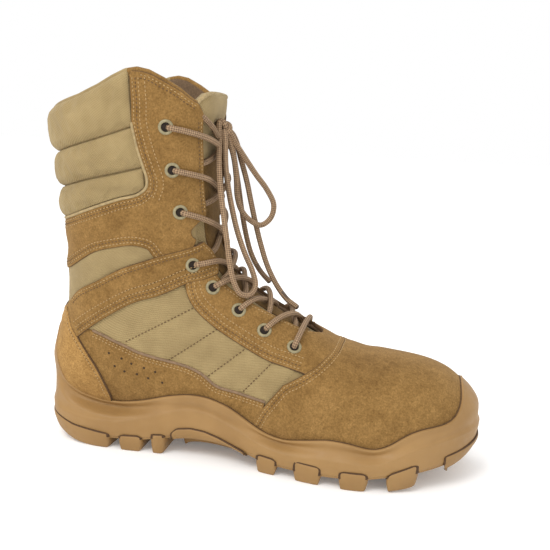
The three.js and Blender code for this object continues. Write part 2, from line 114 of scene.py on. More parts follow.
FLOOR_HALF = 6.0
floor_mesh = bpy.data.meshes.new("floor")
floor_mesh.from_pydata(
    [(-FLOOR_HALF, -FLOOR_HALF, 0), (FLOOR_HALF, -FLOOR_HALF, 0), (FLOOR_HALF, FLOOR_HALF, 0),
     (-FLOOR_HALF, FLOOR_HALF, 0)], [], [(0, 1, 2, 3)])
floor = bpy.data.objects.new("floor", floor_mesh)
bpy.context.scene.collection.objects.link(floor)
print("camera lens, mm:", round(camera_data.lens, 1))

# %% [markdown]
# ## The form
# A boot is built on a last. Its shape is a short table of sections that fan from the toe, over the
# instep, up to the collar. Each section lies between a front point and a back point, with a half width
# and two numbers that say how square its ends are. The same table made the design, so the panels below
# lie exactly on it.

# %% The form's sections
# Columns: front x, z, y, back x, z, y, half width, where it is widest, squareness of back and front.
FORM = np.array([
    (295.6, 44, 8, 295.6, 36, 8, 4.5, 0.5, 2, 2),
    (294.3, 49.5, 8, 294.6, 31.6, 8, 12, 0.48, 2.1, 2),
    (291, 55, 7.5, 291.5, 27.6, 8, 19, 0.45, 2.3, 2.1),
    (285, 61, 7, 286, 24, 7, 26.5, 0.42, 2.5, 2.1),
    (275.5, 67.3, 6, 277, 20.8, 5.5, 34, 0.4, 2.7, 2.2),
    (262.5, 71.8, 5, 264, 18, 3, 40.5, 0.38, 2.9, 2.2),
    (246, 74.4, 4, 247, 15.8, 0, 45.2, 0.36, 3, 2.2),
    (227, 76, 3.5, 227, 14.6, -2, 47.4, 0.35, 3, 2.2),
    (208, 79, 3, 205, 14.6, -3.6, 46.2, 0.34, 3, 2.2),
    (192, 84.6, 3, 182, 15.4, -4.6, 42.6, 0.34, 3, 2.3),
    (176, 92, 3, 158, 17.2, -4.6, 38.4, 0.35, 3, 2.45),
    (160, 100.5, 3, 132, 19.6, -3.4, 35.6, 0.36, 2.9, 2.65),
    (145, 109.5, 3, 106, 21.6, -2, 34.6, 0.38, 2.8, 2.8),
    (132, 119, 2.5, 80, 22.4, -1, 34.8, 0.4, 2.7, 2.95),
    (123, 129, 2, 52, 22.6, -0.5, 35.6, 0.42, 2.6, 3.05),
    (118, 139.5, 2, 28, 24.4, 0, 36.4, 0.44, 2.5, 3.15),
    (115.8, 150, 1.5, 9.5, 32.5, 0, 37.2, 0.45, 2.4, 3.2),
    (114.6, 161, 1, 2.6, 52, 0, 38.2, 0.45, 2.35, 3.2),
    (114, 172, 1, 6.6, 76, 0, 39, 0.45, 2.3, 3.2),
    (113.4, 184, 0.5, 10.2, 101, 0, 39.6, 0.45, 2.3, 3.2),
    (113, 196, 0.5, 10.6, 127, 0, 40.6, 0.45, 2.3, 3.2),
    (113, 208, 0, 9.6, 152, 0, 42, 0.45, 2.3, 3.2),
    (113.4, 221, 0, 7, 178, 0, 43.4, 0.45, 2.3, 3.1),
    (114.6, 236, 0, 3, 204, 0, 44.6, 0.45, 2.3, 3),
    (116, 254, 0, -1.6, 232, 0, 45.4, 0.45, 2.3, 2.8),
    (117, 274, 0, -3.6, 262, 0, 45.6, 0.45, 2.3, 2.8),
])
LAST_PLACE = len(FORM) - 1
STEPS_PER_SECTION = 16
STEPS_AROUND = 480


def smooth_rows(rows, place):
    """Catmull-Rom reading of a table at fractional row numbers."""
    place = np.clip(np.asarray(place, float), 0, len(rows) - 1)
    i = np.minimum(place.astype(int), len(rows) - 2)
    t = (place - i)[..., None]
    a, b, c, d = (rows[np.clip(i + k, 0, len(rows) - 1)] for k in (-1, 0, 1, 2))
    square, cube = 2 * a - 5 * b + 4 * c - d, 3 * b - a - 3 * c + d
    return 0.5 * (2 * b + (c - a) * t + square * t ** 2 + cube * t ** 3)


def form_section(row):
    """Points of one section, evenly spaced from the front by the lateral side to the back and home."""
    fx, fz, fy, bx, bz, by, half, widest, back, front = row
    angle = np.linspace(0, math.pi / 2, 97)
    rise = [np.cos(angle) ** (2 / front), np.cos(angle[::-1]) ** (2 / back)]
    share = np.concatenate([widest + (1 - widest) * rise[0], (widest * (1 - rise[1]))[1:]])
    width = np.concatenate([np.sin(angle) ** (2 / front), (np.sin(angle[::-1]) ** (2 / back))[1:]]) * half
    chord = math.hypot(fx - bx, fz - bz)
    length = np.concatenate([[0], np.cumsum(np.hypot(np.diff(share) * chord, np.diff(width)))])
    even = np.linspace(0, length[-1], STEPS_AROUND // 2 + 1)
    share, width = np.interp(even, length, share), np.interp(even, length, width)
    share = np.concatenate([share, share[-2:0:-1]])
    width = np.concatenate([-width, width[-2:0:-1]])
    return np.stack([bx + (fx - bx) * share, by + (fy - by) * share + width, bz + (fz - bz) * share], -1)


form_places = np.linspace(0, LAST_PLACE, LAST_PLACE * STEPS_PER_SECTION + 1)
form = np.array([form_section(row) for row in smooth_rows(FORM, form_places)])


def grid_normals(grid):
    along = np.gradient(grid, axis=0)
    across = (np.roll(grid, -1, 1) - np.roll(grid, 1, 1)) / 2
    normal = np.cross(along, across)
    return normal / np.maximum(np.linalg.norm(normal, axis=-1, keepdims=True), 1e-9)


print("form grid:", form.shape)

# %% [markdown]
# ## Soft shape of worn suede
# Cut panels never lie as flat as the last. The leg sags in soft waves over the ankle, and the vamp has the
# shallow troughs of a first wearing. They are placed one by one, each as a short bump or trough in the boot's
# own millimetres, and added to the form itself, so that every panel, stitch and lace on it follows.

# %% Waves and creases
COLLAR_EDGE = ((-12, 226), (0, 227), (14, 231.5), (30, 236.5), (44, 243), (54, 249), (62, 253), (70, 254.4),
               (78, 253), (88, 248.4), (98, 242.6), (106, 236))


def line_height(line, x):
    xs, zs = np.array(line, float).T
    return np.interp(x, xs, zs)


# Each wave: centre x, z, half length along its lean, half width, lean in degrees, height, side (0 both).
WAVES = (
    (14, 148, 60, 8, 8, 0.9, 0), (30, 138, 44, 6, 12, -0.7, 0), (10, 124, 40, 8, 14, 0.7, 0),
    (60, 134, 30, 8, 22, 0.6, -1), (86, 158, 26, 7, -30, -0.6, -1), (84, 150, 22, 6, 20, 0.5, 1),
    (12, 96, 30, 7, -10, -0.6, 0), (196, 74, 34, 7, 62, -0.7, 0), (206, 70, 36, 6, 66, 0.5, 0),
    (219, 66, 34, 6, 74, -0.6, 0), (229, 60, 30, 6, 84, 0.4, 0), (150, 60, 34, 8, -40, 0.5, 0),
    (122, 70, 30, 8, -44, -0.5, 0), (96, 196, 28, 9, 80, 0.6, -1), (84, 234, 16, 8, 40, -0.5, -1),
    (96, 54, 30, 9, -24, 0.5, 0), (260, 52, 20, 9, 60, 0.4, -1), (245, 56, 18, 8, -50, -0.3, -1),
)


def wave_height(points):
    x, y, z = points[..., 0], points[..., 1], points[..., 2]
    total = np.zeros(x.shape)
    for cx, cz, long, wide, lean, height, side in WAVES:
        c, s = math.cos(math.radians(lean)), math.sin(math.radians(lean))
        u, v = (x - cx) * c + (z - cz) * s, (z - cz) * c - (x - cx) * s
        bump = height * np.exp(-(u / long) ** 2 * 1.6 - (v / wide) ** 2)
        total += bump if side == 0 else bump / (1 + np.exp(-side * y / 6))
    return total


form = form + grid_normals(form) * wave_height(form)[..., None]
form_normal = grid_normals(form)
heights = wave_height(form)
print("deepest trough and highest wave, mm:", heights.min().round(2), heights.max().round(2))

# %% [markdown]
# ## Reading the form
# Panels need two questions answered: where is the point at this place on the form, and which place is
# the one seen from the side at this x and z. Both are table look-ups on the fine grid.

# %% Points on the form and places seen from the side


def on_form(place, around, height=0.0):
    """A point at a fractional place and turn, standing off the surface by a height."""
    place = np.clip(np.asarray(place, float), 0, LAST_PLACE) * STEPS_PER_SECTION
    around = np.mod(np.asarray(around, float), 1.0) * STEPS_AROUND
    i = np.minimum(place.astype(int), len(form) - 2)
    j = around.astype(int) % STEPS_AROUND
    s, t = (place - i)[..., None], (around - np.floor(around))[..., None]
    k = (j + 1) % STEPS_AROUND

    def mix(grid):
        near = grid[i, j] * (1 - s) + grid[i + 1, j] * s
        far = grid[i, k] * (1 - s) + grid[i + 1, k] * s
        return near * (1 - t) + far * t

    normal = mix(form_normal)
    normal /= np.linalg.norm(normal, axis=-1, keepdims=True)
    return mix(form) + normal * np.asarray(height, float)[..., None], normal


side_grid = form[:, : STEPS_AROUND // 2 + 1][:, :, [0, 2]]


def seen_at(x, z):
    """Place and turn (lateral half) of the form point seen from the side at x and z."""
    miss = np.hypot(side_grid[..., 0] - x, side_grid[..., 1] - z)
    i, j = np.unravel_index(np.argmin(miss), miss.shape)
    i, j = min(max(i, 1), len(form) - 2), min(max(j, 1), STEPS_AROUND // 2 - 1)
    here = side_grid[i, j]
    along = (side_grid[i + 1, j] - side_grid[i - 1, j]) / 2
    across = (side_grid[i, j + 1] - side_grid[i, j - 1]) / 2
    basis = np.stack([along, across], 1)
    if abs(np.linalg.det(basis)) > 1e-3:
        step = np.clip(np.linalg.solve(basis, np.array([x, z]) - here), -1, 1)
    else:
        step = np.zeros(2)
    return (i + step[0]) / STEPS_PER_SECTION, (j + step[1]) / STEPS_AROUND


middle_line = form[:, STEPS_AROUND // 4]
line_length = np.concatenate([[0], np.cumsum(np.linalg.norm(np.diff(middle_line, axis=0), axis=1))])
GIRTH = 285.0    # one turn of a section, in the flat pattern
MIRROR = np.array([1.0, -1.0])      # turns a flat pattern over, across its middle


def to_pattern(place, around, centre):
    """Place and turn to flat pattern millimetres, with the pattern's middle at a turn of centre."""
    along = np.interp(np.asarray(place) * STEPS_PER_SECTION, np.arange(len(line_length)), line_length)
    offset = np.mod(np.asarray(around) - centre + 0.5, 1.0) - 0.5
    return np.stack([along, offset * GIRTH], -1)


def from_pattern(points, centre):
    place = np.interp(points[..., 0], line_length, np.arange(len(line_length))) / STEPS_PER_SECTION
    return place, points[..., 1] / GIRTH + centre


print("flat length of the upper, toe to collar, mm:", round(float(line_length[-1])))

# %% [markdown]
# ## Materials
# Suede is a brushed, matt skin: its colour drifts in soft clouds where the nap lies one way or the other,
# and a fine grain breaks the light. The woven panels carry a twill from their own flat pattern (the UV
# map), so the ribs follow each panel like cut cloth. Rubber is plain but never perfectly even.

# %% Material helpers


def new_material(name, rough):
    material = bpy.data.materials.new(name)
    material.use_nodes = True
    shader = material.node_tree.nodes["Principled BSDF"]
    shader.inputs["Roughness"].default_value = rough
    return material, material.node_tree.nodes, material.node_tree.links, shader


def set_inputs(shader, **values):
    """Sets a shader's own inputs; underscores stand for the spaces in their names."""
    for name, value in values.items():
        shader.inputs[name.replace("_", " ")].default_value = value


def linked(nodes, links, kind, **inputs):
    """A shader node whose named inputs are values or sockets of other nodes."""
    node = nodes.new(kind)
    for name, value in inputs.items():
        socket = node.inputs[name.replace("_", " ")]
        if hasattr(value, "is_output"):
            links.new(value, socket)
        else:
            socket.default_value = value
    return node


def ramp(nodes, links, factor, stops):
    node = nodes.new("ShaderNodeValToRGB")
    links.new(factor, node.inputs["Fac"])
    elements = node.color_ramp.elements
    while len(elements) < len(stops):
        elements.new(0.5)
    for element, (position, colour) in zip(elements, stops):
        element.position, element.color = position, (*colour, 1.0)
    return node.outputs["Color"]


def noise(nodes, links, where, scale, detail=3.0, rough=0.55, distortion=0.0):
    node = linked(nodes, links, "ShaderNodeTexNoise", Vector=where, Scale=scale, Detail=detail,
                  Roughness=rough, Distortion=distortion)
    return node.outputs["Fac"]


def mixed(nodes, links, factor, a, b, mode="MIX"):
    node = nodes.new("ShaderNodeMix")
    node.data_type, node.blend_type = "RGBA", mode
    for value, index in ((factor, 0), (a, 6), (b, 7)):
        if hasattr(value, "is_output"):
            links.new(value, node.inputs[index])
        else:
            node.inputs[index].default_value = value if index == 0 else (*value, 1.0)
    return node.outputs[2]


def add_bump(nodes, links, shader, layers):
    """Stacks height layers of (socket, strength, distance in metres) on the shader's normal."""
    last = None
    for height, strength, distance in layers:
        node = linked(nodes, links, "ShaderNodeBump", Height=height, Strength=strength, Distance=distance)
        if last:
            links.new(last, node.inputs["Normal"])
        last = node.outputs["Normal"]
    links.new(last, shader.inputs["Normal"])


# %% [markdown]
# ## The skins
# Suede mixes three browns, woven cloth three sands and rubber two; thread, piping, paint and lining are one
# colour with a fine grain. The noises are cheap and need no image.

# %% Suede, twill, rubber and the small materials
SUEDE = {"light": (0.325, 0.190, 0.066), "mid": (0.238, 0.134, 0.042), "dark": (0.142, 0.073, 0.020)}
SAND = {"light": (0.40, 0.297, 0.141), "mid": (0.325, 0.236, 0.107), "dark": (0.195, 0.135, 0.058)}
RUBBER = {"light": (0.35, 0.203, 0.073), "dark": (0.275, 0.153, 0.051)}
RIB_PITCH = 1.15        # millimetres from one rib of the twill to the next
WAVE_SCALE = 0.318      # the wave texture's scale that gives about one wave a unit


def suede_material(name, lift=1.0):
    material, nodes, links, shader = new_material(name, 0.95)
    at = nodes.new("ShaderNodeTexCoord").outputs["Object"]
    light, mid, dark = (tuple(c * lift for c in SUEDE[k]) for k in ("light", "mid", "dark"))
    clouds = noise(nodes, links, at, 34.0, 4.0, 0.6, 0.6)
    nap = noise(nodes, links, at, 210.0, 5.0, 0.7, 0.4)
    grain = noise(nodes, links, at, 850.0, 3.0, 0.75)
    base = ramp(nodes, links, clouds, [(0.28, dark), (0.5, mid), (0.74, light)])
    base = mixed(nodes, links, 0.5, base, ramp(nodes, links, nap, [(0.3, dark), (0.55, mid), (0.8, light)]))
    speck = ramp(nodes, links, grain, [(0.32, (0.5, 0.46, 0.42)), (0.68, (1.45, 1.45, 1.45))])
    base = mixed(nodes, links, 0.6, base, speck, "MULTIPLY")
    links.new(base, shader.inputs["Base Color"])
    set_inputs(shader, Sheen_Weight=0.12, Sheen_Roughness=0.5, Sheen_Tint=(0.9, 0.7, 0.45, 1.0),
               Specular_IOR_Level=0.15)
    add_bump(nodes, links, shader, [(nap, 0.35, 0.0006), (grain, 0.5, 0.00035)])
    return material


def twill_material(name, angle):
    """Ribbed cloth: fine cords across the panel's own flat pattern, at an angle in degrees."""
    material, nodes, links, shader = new_material(name, 0.9)
    flat = nodes.new("ShaderNodeUVMap").outputs["UV"]
    at = nodes.new("ShaderNodeTexCoord").outputs["Object"]
    turned = linked(nodes, links, "ShaderNodeMapping", Vector=flat)
    turned.inputs["Rotation"].default_value = (0, 0, math.radians(angle))
    way, scale = turned.outputs["Vector"], 1.0 / RIB_PITCH * WAVE_SCALE
    rib = linked(nodes, links, "ShaderNodeTexWave", Vector=way, Scale=scale, Distortion=0.5, Detail=2.0,
                 Detail_Scale=2.0)
    cross = linked(nodes, links, "ShaderNodeTexWave", Vector=way, Scale=scale, Distortion=0.4)
    cross.bands_direction = "Y"
    weave = nodes.new("ShaderNodeMath")
    weave.operation = "MULTIPLY_ADD"
    links.new(cross.outputs["Fac"], weave.inputs[0])
    weave.inputs[1].default_value = 0.35
    links.new(rib.outputs["Fac"], weave.inputs[2])
    height = weave.outputs[0]
    clouds = noise(nodes, links, at, 60.0, 3.0)
    base = ramp(nodes, links, height, [(0.1, SAND["dark"]), (0.55, SAND["mid"]), (1.0, SAND["light"])])
    base = mixed(nodes, links, 0.55, base, SAND["mid"])
    drift = ramp(nodes, links, clouds, [(0.3, SAND["dark"]), (0.7, SAND["light"])])
    base = mixed(nodes, links, 0.35, base, drift)
    links.new(base, shader.inputs["Base Color"])
    set_inputs(shader, Sheen_Weight=0.1, Specular_IOR_Level=0.2)
    add_bump(nodes, links, shader, [(height, 0.6, 0.0004), (noise(nodes, links, at, 900.0), 0.3, 0.0002)])
    return material


def rubber_material(name, lift):
    material, nodes, links, shader = new_material(name, 0.52)
    at = nodes.new("ShaderNodeTexCoord").outputs["Object"]
    light, dark = (tuple(c * lift for c in RUBBER[k]) for k in ("light", "dark"))
    clouds = noise(nodes, links, at, 28.0, 3.0)
    links.new(ramp(nodes, links, clouds, [(0.3, dark), (0.72, light)]), shader.inputs["Base Color"])
    scuff = noise(nodes, links, at, 160.0, 4.0, 0.65)
    rough = ramp(nodes, links, scuff, [(0.35, (0.46,) * 3), (0.75, (0.66,) * 3)])
    links.new(rough, shader.inputs["Roughness"])
    set_inputs(shader, Specular_IOR_Level=0.35)
    add_bump(nodes, links, shader, [(scuff, 0.12, 0.0004), (noise(nodes, links, at, 1400.0), 0.14, 0.0002)])
    return material


def plain_material(name, colour, rough, scale=500.0):
    """A small part's finish: one colour drifting a little, with a fine grain."""
    material, nodes, links, shader = new_material(name, rough)
    at = nodes.new("ShaderNodeTexCoord").outputs["Object"]
    grain = noise(nodes, links, at, scale, 3.0)
    stops = [(0.3, tuple(c * 0.75 for c in colour)), (0.7, tuple(min(1.0, c * 1.2) for c in colour))]
    links.new(ramp(nodes, links, grain, stops), shader.inputs["Base Color"])
    add_bump(nodes, links, shader, [(grain, 0.25, 0.0003)])
    return material


suede = suede_material("suede")
suede_light = suede_material("suede_counter", 1.45)
twill = twill_material("twill_side", 62)
twill_collar = twill_material("twill_collar", -35)
rubber = rubber_material("sole_rubber", 1.0)
rubber_tread = rubber_material("tread_rubber", 0.93)
floor_paint, _, _, floor_shader = new_material("floor_paint", 0.9)
set_inputs(floor_shader, Base_Color=(0.93, 0.93, 0.93, 1.0), Emission_Color=(1.0, 1.0, 1.0, 1.0),
           Emission_Strength=0.12)
floor_mesh.materials.append(floor_paint)
lining = plain_material("lining", (0.16, 0.10, 0.055), 0.95, scale=700.0)
piping = plain_material("piping", (0.215, 0.135, 0.075), 0.8)
thread = plain_material("thread", (0.40, 0.255, 0.105), 0.6, scale=1500.0)
# near-black paint for needle holes and perforations: painted shade inside the holes
hole_shade_paint = plain_material("hole_shade_paint", (0.045, 0.024, 0.010), 1.0)
eyelet_paint = plain_material("eyelet_paint", (0.27, 0.228, 0.125), 0.42)
print("materials:", len(bpy.data.materials))

# %% [markdown]
# ## Making a piece
# Every mesh below ends in the same way: it goes into the scene at the origin, rides on the boot's one
# body and, where it stands for a design solid, replaces it.

# %% Piece helpers


def piece(name, vertices, faces, material, replaces=(), uv=None, millimetres=True):
    """A mesh object from boot millimetres, with one material or a list, registered with the frame."""
    mesh = bpy.data.meshes.new(name)
    points = metres(vertices) if millimetres else np.asarray(vertices)
    mesh.from_pydata([tuple(p) for p in points], [], [tuple(int(i) for i in f) for f in faces])
    mesh.validate()
    for each in material if isinstance(material, (list, tuple)) else (material,):
        mesh.materials.append(each)
    if uv is not None:
        layer = mesh.uv_layers.new(name="pattern")
        corner = np.empty(len(mesh.loops), np.int32)
        mesh.loops.foreach_get("vertex_index", corner)
        layer.data.foreach_set("uv", np.asarray(uv, np.float32)[corner].ravel())
    mesh.polygons.foreach_set("use_smooth", [True] * len(mesh.polygons))
    made = bpy.data.objects.new(name, mesh)
    bpy.context.scene.collection.objects.link(made)
    return register(made, replaces)


def register(made, replaces=()):
    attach(made, "root")
    if replaces:
        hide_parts(*replaces)
    return made


def grid_faces(rows, columns, wrap=False):
    """Quads between the rows of a grid; with wrap the last column joins the first."""
    i, j = np.meshgrid(np.arange(rows - 1), np.arange(columns if wrap else columns - 1), indexing="ij")
    k = (j + 1) % columns
    quads = np.stack([i * columns + j, i * columns + k, (i + 1) * columns + k, (i + 1) * columns + j], -1)
    return quads.reshape(-1, 4)


def point_outwards(made):
    """Turns all faces of a closed mesh outwards."""
    work = bmesh.new()
    work.from_mesh(made.data)
    bmesh.ops.remove_doubles(work, verts=work.verts, dist=1e-6)
    bmesh.ops.recalc_face_normals(work, faces=work.faces)
    work.to_mesh(made.data)
    work.free()


def curve_through(points, closed=False, spacing=1.2):
    """Evenly spaced points on a centripetal Catmull-Rom curve through control points of any dimension."""
    p = np.asarray(points, float)
    if len(p) < 3 and not closed:
        steps = max(2, int(np.linalg.norm(p[-1] - p[0]) / spacing) + 1)
        return p[0] + (p[-1] - p[0]) * np.linspace(0, 1, steps)[:, None]
    if closed:
        p = np.vstack([p[-1], p, p[0], p[1]])
    else:
        p = np.vstack([2 * p[0] - p[1], p, 2 * p[-1] - p[-2]])
    fine = []
    for k in range(1, len(p) - 2):
        a, b, c, d = p[k - 1:k + 3]
        knots = np.cumsum([0, *(max(np.linalg.norm(v), 1e-6) ** 0.5 for v in (b - a, c - b, d - c))])
        t = np.linspace(knots[1], knots[2], 13)[:-1, None]
        ab = (a * (knots[1] - t) + b * (t - knots[0])) / (knots[1] - knots[0])
        bc = (b * (knots[2] - t) + c * (t - knots[1])) / (knots[2] - knots[1])
        cd = (c * (knots[3] - t) + d * (t - knots[2])) / (knots[3] - knots[2])
        left = (ab * (knots[2] - t) + bc * (t - knots[0])) / (knots[2] - knots[0])
        right_ = (bc * (knots[3] - t) + cd * (t - knots[1])) / (knots[3] - knots[1])
        fine.append((left * (knots[2] - t) + right_ * (t - knots[1])) / (knots[2] - knots[1]))
    fine = np.vstack([*fine, p[-2][None]])
    length = np.concatenate([[0], np.cumsum(np.linalg.norm(np.diff(fine, axis=0), axis=1))])
    even = np.linspace(0, length[-1], max(3, int(length[-1] / spacing) + 1))
    if closed:
        even = even[:-1]
    return np.stack([np.interp(even, length, fine[:, k]) for k in range(fine.shape[1])], -1)


print("helpers ready")

# %% [markdown]
# ## Cutting panels
# A panel is drawn as its edges seen from the side, carried to the flat pattern, filled with a triangle
# mesh by constrained Delaunay triangulation, and laid back on the form. It is closed below, its top edge
# is rounded over by the distance to the cut, and it can be mirrored across the toe or the heel.

# %% Edges in the flat pattern


def edge_of(points, centre, side=-1, spacing=1.3):
    """A smooth edge through points seen from the side (x, z), or already flat as (place, around, None)."""
    found = [p[:2] if len(p) == 3 else seen_at(*p) for p in points]
    place, around = np.array(found).T
    line = curve_through(to_pattern(place, around, centre), spacing=spacing)
    return line * np.array([1.0, -side])


def back_at(z):
    """The form's back line at a height, as a flat point."""
    return float(np.interp(z, form[150:, 240, 2], np.arange(150, len(form)))) / STEPS_PER_SECTION, 0.5, None


def front_at(x):
    """The form's middle line over the toe and instep, as a flat point."""
    return float(np.interp(-x, -form[:, 0, 0], np.arange(len(form)))) / STEPS_PER_SECTION, 0.0, None


def closed_outline(*edges):
    """Edges that follow each other, joined to one closed outline without doubled corners."""
    joined = [edges[0]]
    for edge in edges[1:]:
        joined.append(edge[1:] if np.linalg.norm(edge[0] - joined[-1][-1]) < 0.8 else edge)
    outline = np.vstack(joined)
    return outline[:-1] if np.linalg.norm(outline[0] - outline[-1]) < 0.8 else outline


def outline_of(edges, centre, side=-1):
    """One closed outline from the point lists of its edges."""
    return closed_outline(*(edge_of(edge, centre, side) for edge in edges))


def mirrored(half):
    """A half outline that starts and ends on the pattern's middle, closed by its mirror image."""
    half = half.copy()
    half[0, 1] = half[-1, 1] = 0.0
    return np.vstack([half, half[-2:0:-1] * MIRROR])


def at_pattern(points, centre, height=0.0):
    place, around = from_pattern(points, centre)
    return on_form(place, around, np.broadcast_to(np.asarray(height, float), place.shape))


def shifted(points, centre, distance, closed=False):
    """A pattern line moved sideways over the form by a real distance, to the left as seen from outside."""
    points = points.copy()
    for _ in range(max(1, round(abs(distance) / 1.5))):
        step = distance / max(1, round(abs(distance) / 1.5))
        here, normal = at_pattern(points, centre)
        if closed:
            along = np.roll(here, -1, 0) - np.roll(here, 1, 0)
        else:
            along = np.gradient(here, axis=0)
        along /= np.maximum(np.linalg.norm(along, axis=1, keepdims=True), 1e-9)
        aside = np.cross(normal, along) * step
        a = (at_pattern(points + [0.4, 0], centre)[0] - here) / 0.4
        b = (at_pattern(points + [0, 0.4], centre)[0] - here) / 0.4
        aa, ab, bb = (a * a).sum(1), (a * b).sum(1), (b * b).sum(1)
        ra, rb = (a * aside).sum(1), (b * aside).sum(1)
        scale = np.maximum(aa * bb - ab * ab, 1e-6)
        points += np.stack([(bb * ra - ab * rb) / scale, (aa * rb - ab * ra) / scale], -1)
    return points


def inside(points, outline):
    """Which points lie inside a closed outline."""
    x, y = points[:, 0][:, None], points[:, 1][:, None]
    (x0, y0), (x1, y1) = outline.T, np.roll(outline, -1, 0).T
    with np.errstate(divide="ignore", invalid="ignore"):
        crossing = ((y0 > y) != (y1 > y)) & (x < (x1 - x0) * (y - y0) / (y1 - y0) + x0)
    return crossing.sum(1) % 2 == 1


def distance_to(points, line, closed=True):
    """Shortest distance from each point to a polyline, in any dimension."""
    a = line if closed else line[:-1]
    b = np.roll(line, -1, 0) if closed else line[1:]
    edge = b - a
    square = np.maximum((edge ** 2).sum(1), 1e-12)
    best = np.empty(len(points))
    for k in range(0, len(points), 2000):
        p = points[k:k + 2000, None] - a[None]
        t = np.clip((p * edge).sum(-1) / square, 0, 1)
        best[k:k + 2000] = np.sqrt(((p - edge * t[..., None]) ** 2).sum(-1).min(1))
    return best


def filled(outline, inner, spacing):
    """Delaunay triangles inside an outline, with extra inner points and a staggered grid."""
    low, high = outline.min(0), outline.max(0)
    xs, ys = np.arange(low[0], high[0], spacing), np.arange(low[1], high[1], spacing)
    grid = np.stack(np.meshgrid(xs, ys, indexing="ij"), -1)
    grid[::2, :, 1] += spacing / 2
    grid = grid.reshape(-1, 2)
    grid = grid[inside(grid, outline)]
    grid = grid[distance_to(grid, outline) > spacing * 0.9]
    if len(inner):
        grid = grid[distance_to(grid, inner, False) > spacing * 0.6]
    points = np.vstack([outline, inner, grid]) if len(inner) else np.vstack([outline, grid])
    loop = list(range(len(outline)))
    found = delaunay_2d_cdt([Vector(p) for p in points], [], [loop], 1, 1e-5)
    return np.array([tuple(v) for v in found[0]]), [tuple(f) for f in found[2]]


def panel(name, outline, centre, material, height, edge=1.1, bottom=-0.4, spacing=2.0, lift=None,
          cut=None, softness=0.5):
    """A closed panel on the form. height is its top; lift adds to it from the points and edge distance."""
    rim3, _ = at_pattern(outline, centre)
    flip = 1.0 if inside(shifted(outline, centre, 0.3, True)[:40], outline).mean() > 0.5 else -1.0
    rings = []
    for depth in (edge * 0.4, edge):
        ring = shifted(outline, centre, flip * depth, True)
        away = distance_to(at_pattern(ring, centre)[0], rim3)
        rings.append(ring[inside(ring, outline) & (away > depth * 0.8)])
    inner = np.vstack(rings)
    flat, faces = filled(outline, inner, spacing)
    surface, _ = at_pattern(flat, centre)
    away = distance_to(surface, rim3)
    swell = np.sqrt(np.clip(1 - (1 - np.clip(away / edge, 0, 1)) ** 2, 0, 1))
    top = height - softness * (1 - swell)
    if lift is not None:
        top = top + lift(surface, away, flat)
    top_points, _ = at_pattern(flat, centre, top)
    rough, low_faces = filled(outline, np.zeros((0, 2)), 6.0)
    low_points, _ = at_pattern(rough, centre, bottom)
    count = len(flat)
    rim_top = nearest_rows(flat, outline)
    rim_low = nearest_rows(rough, outline) + count
    wall = [(rim_top[i], rim_top[k], rim_low[k], rim_low[i]) for i, k in
            ((i, (i + 1) % len(outline)) for i in range(len(outline)))]
    made = piece(name, np.vstack([top_points, low_points]),
                 faces + wall + [tuple(i + count for i in f[::-1]) for f in low_faces],
                 material if cut is None else [material, cut], uv=np.vstack([flat, rough]))
    # the edge walls and the outer half of the rounded top edge take the cut material: dark cut edge and
    # painted shade
    if cut is not None:
        first = len(faces)
        cut_faces = [first <= k < first + len(wall) or (k < first and max(away[list(faces[k])]) < edge * 0.5)
                     for k in range(len(made.data.polygons))]
        made.data.polygons.foreach_set("material_index", [int(c) for c in cut_faces])
    loose = made.data.attributes.new("away", "FLOAT", "POINT")
    loose.data.foreach_set("value", np.concatenate([away, np.zeros(len(low_points))]).astype(np.float32))
    point_outwards(made)
    return made


def nearest_rows(points, wanted):
    return np.array([int(np.argmin(((points - w) ** 2).sum(1))) for w in wanted])


print("panel tools ready")

# %% [markdown]
# ## The shell
# Under the panels is one closed hollow shell: the cloth of the leg outside, the lining inside, a padded
# rim at the collar and a slit for the throat. It is a grid whose columns run from one side of the throat
# round the heel to the other, so the slit opens by itself where the throat begins.

# %% Shell
THROAT = np.array([(9.1, 3), (9.35, 9), (9.8, 13), (11, 17), (12, 19.5), (13, 21.5), (14, 23.5), (15.4, 25.5),
                   (16.2, 30.5), (17.2, 31), (17.9, 27), (19, 28.5), (21, 30.5), (23, 33), (25, 37)])
SHELL_COLUMNS = 180
WALL, PADDING = 2.4, 5.5        # the shell's depth at the foot and at the padded collar
FAN_FROM = 20                   # above this place the rows fan out to meet the collar's edge
SUEDE_RIM_FROM = 64             # the collar's rim is suede in front of this x
THROAT_START = THROAT[0, 0]


def throat_turn(place):
    """Half the throat's width at a place, as a part of a turn; zero in front of the throat."""
    half = np.interp(place, THROAT[:, 0], THROAT[:, 1])
    lengths = np.linalg.norm(np.diff(form, axis=1, append=form[:, :1]), axis=2).sum(1)
    turn = half / np.interp(np.asarray(place) * STEPS_PER_SECTION, np.arange(len(form)), lengths)
    return np.where(place < THROAT_START, 0.0, turn)


def collar_place(share):
    """The place where a column of the shell meets the collar's edge."""
    places = np.linspace(18, LAST_PLACE, 600)
    turn = throat_turn(places)
    points, _ = on_form(places, turn + share * (1 - 2 * turn))
    over = points[:, 2] - line_height(COLLAR_EDGE, points[:, 0])
    k = int(np.argmax(over > 0))
    return places[k - 1] + (places[k] - places[k - 1]) * over[k - 1] / (over[k - 1] - over[k])


shares = np.linspace(0, 1, SHELL_COLUMNS + 1)
collar_places = np.array([collar_place(s) for s in shares])
rise = np.concatenate([np.linspace(0, THROAT_START, 60)[:-1], [THROAT_START - 0.01],
                       np.linspace(THROAT_START, FAN_FROM, 92), np.linspace(FAN_FROM, LAST_PLACE, 30)[1:]])
rise = np.unique(rise)


def shell_grid(depth_of):
    rows = []
    for step in rise:
        if step <= FAN_FROM:
            place = np.full(len(shares), step)
        else:
            place = FAN_FROM + (collar_places - FAN_FROM) * (step - FAN_FROM) / (LAST_PLACE - FAN_FROM)
        turn = throat_turn(place)
        rows.append(on_form(place, turn + shares * (1 - 2 * turn), -depth_of(place))[0])
    return np.array(rows)


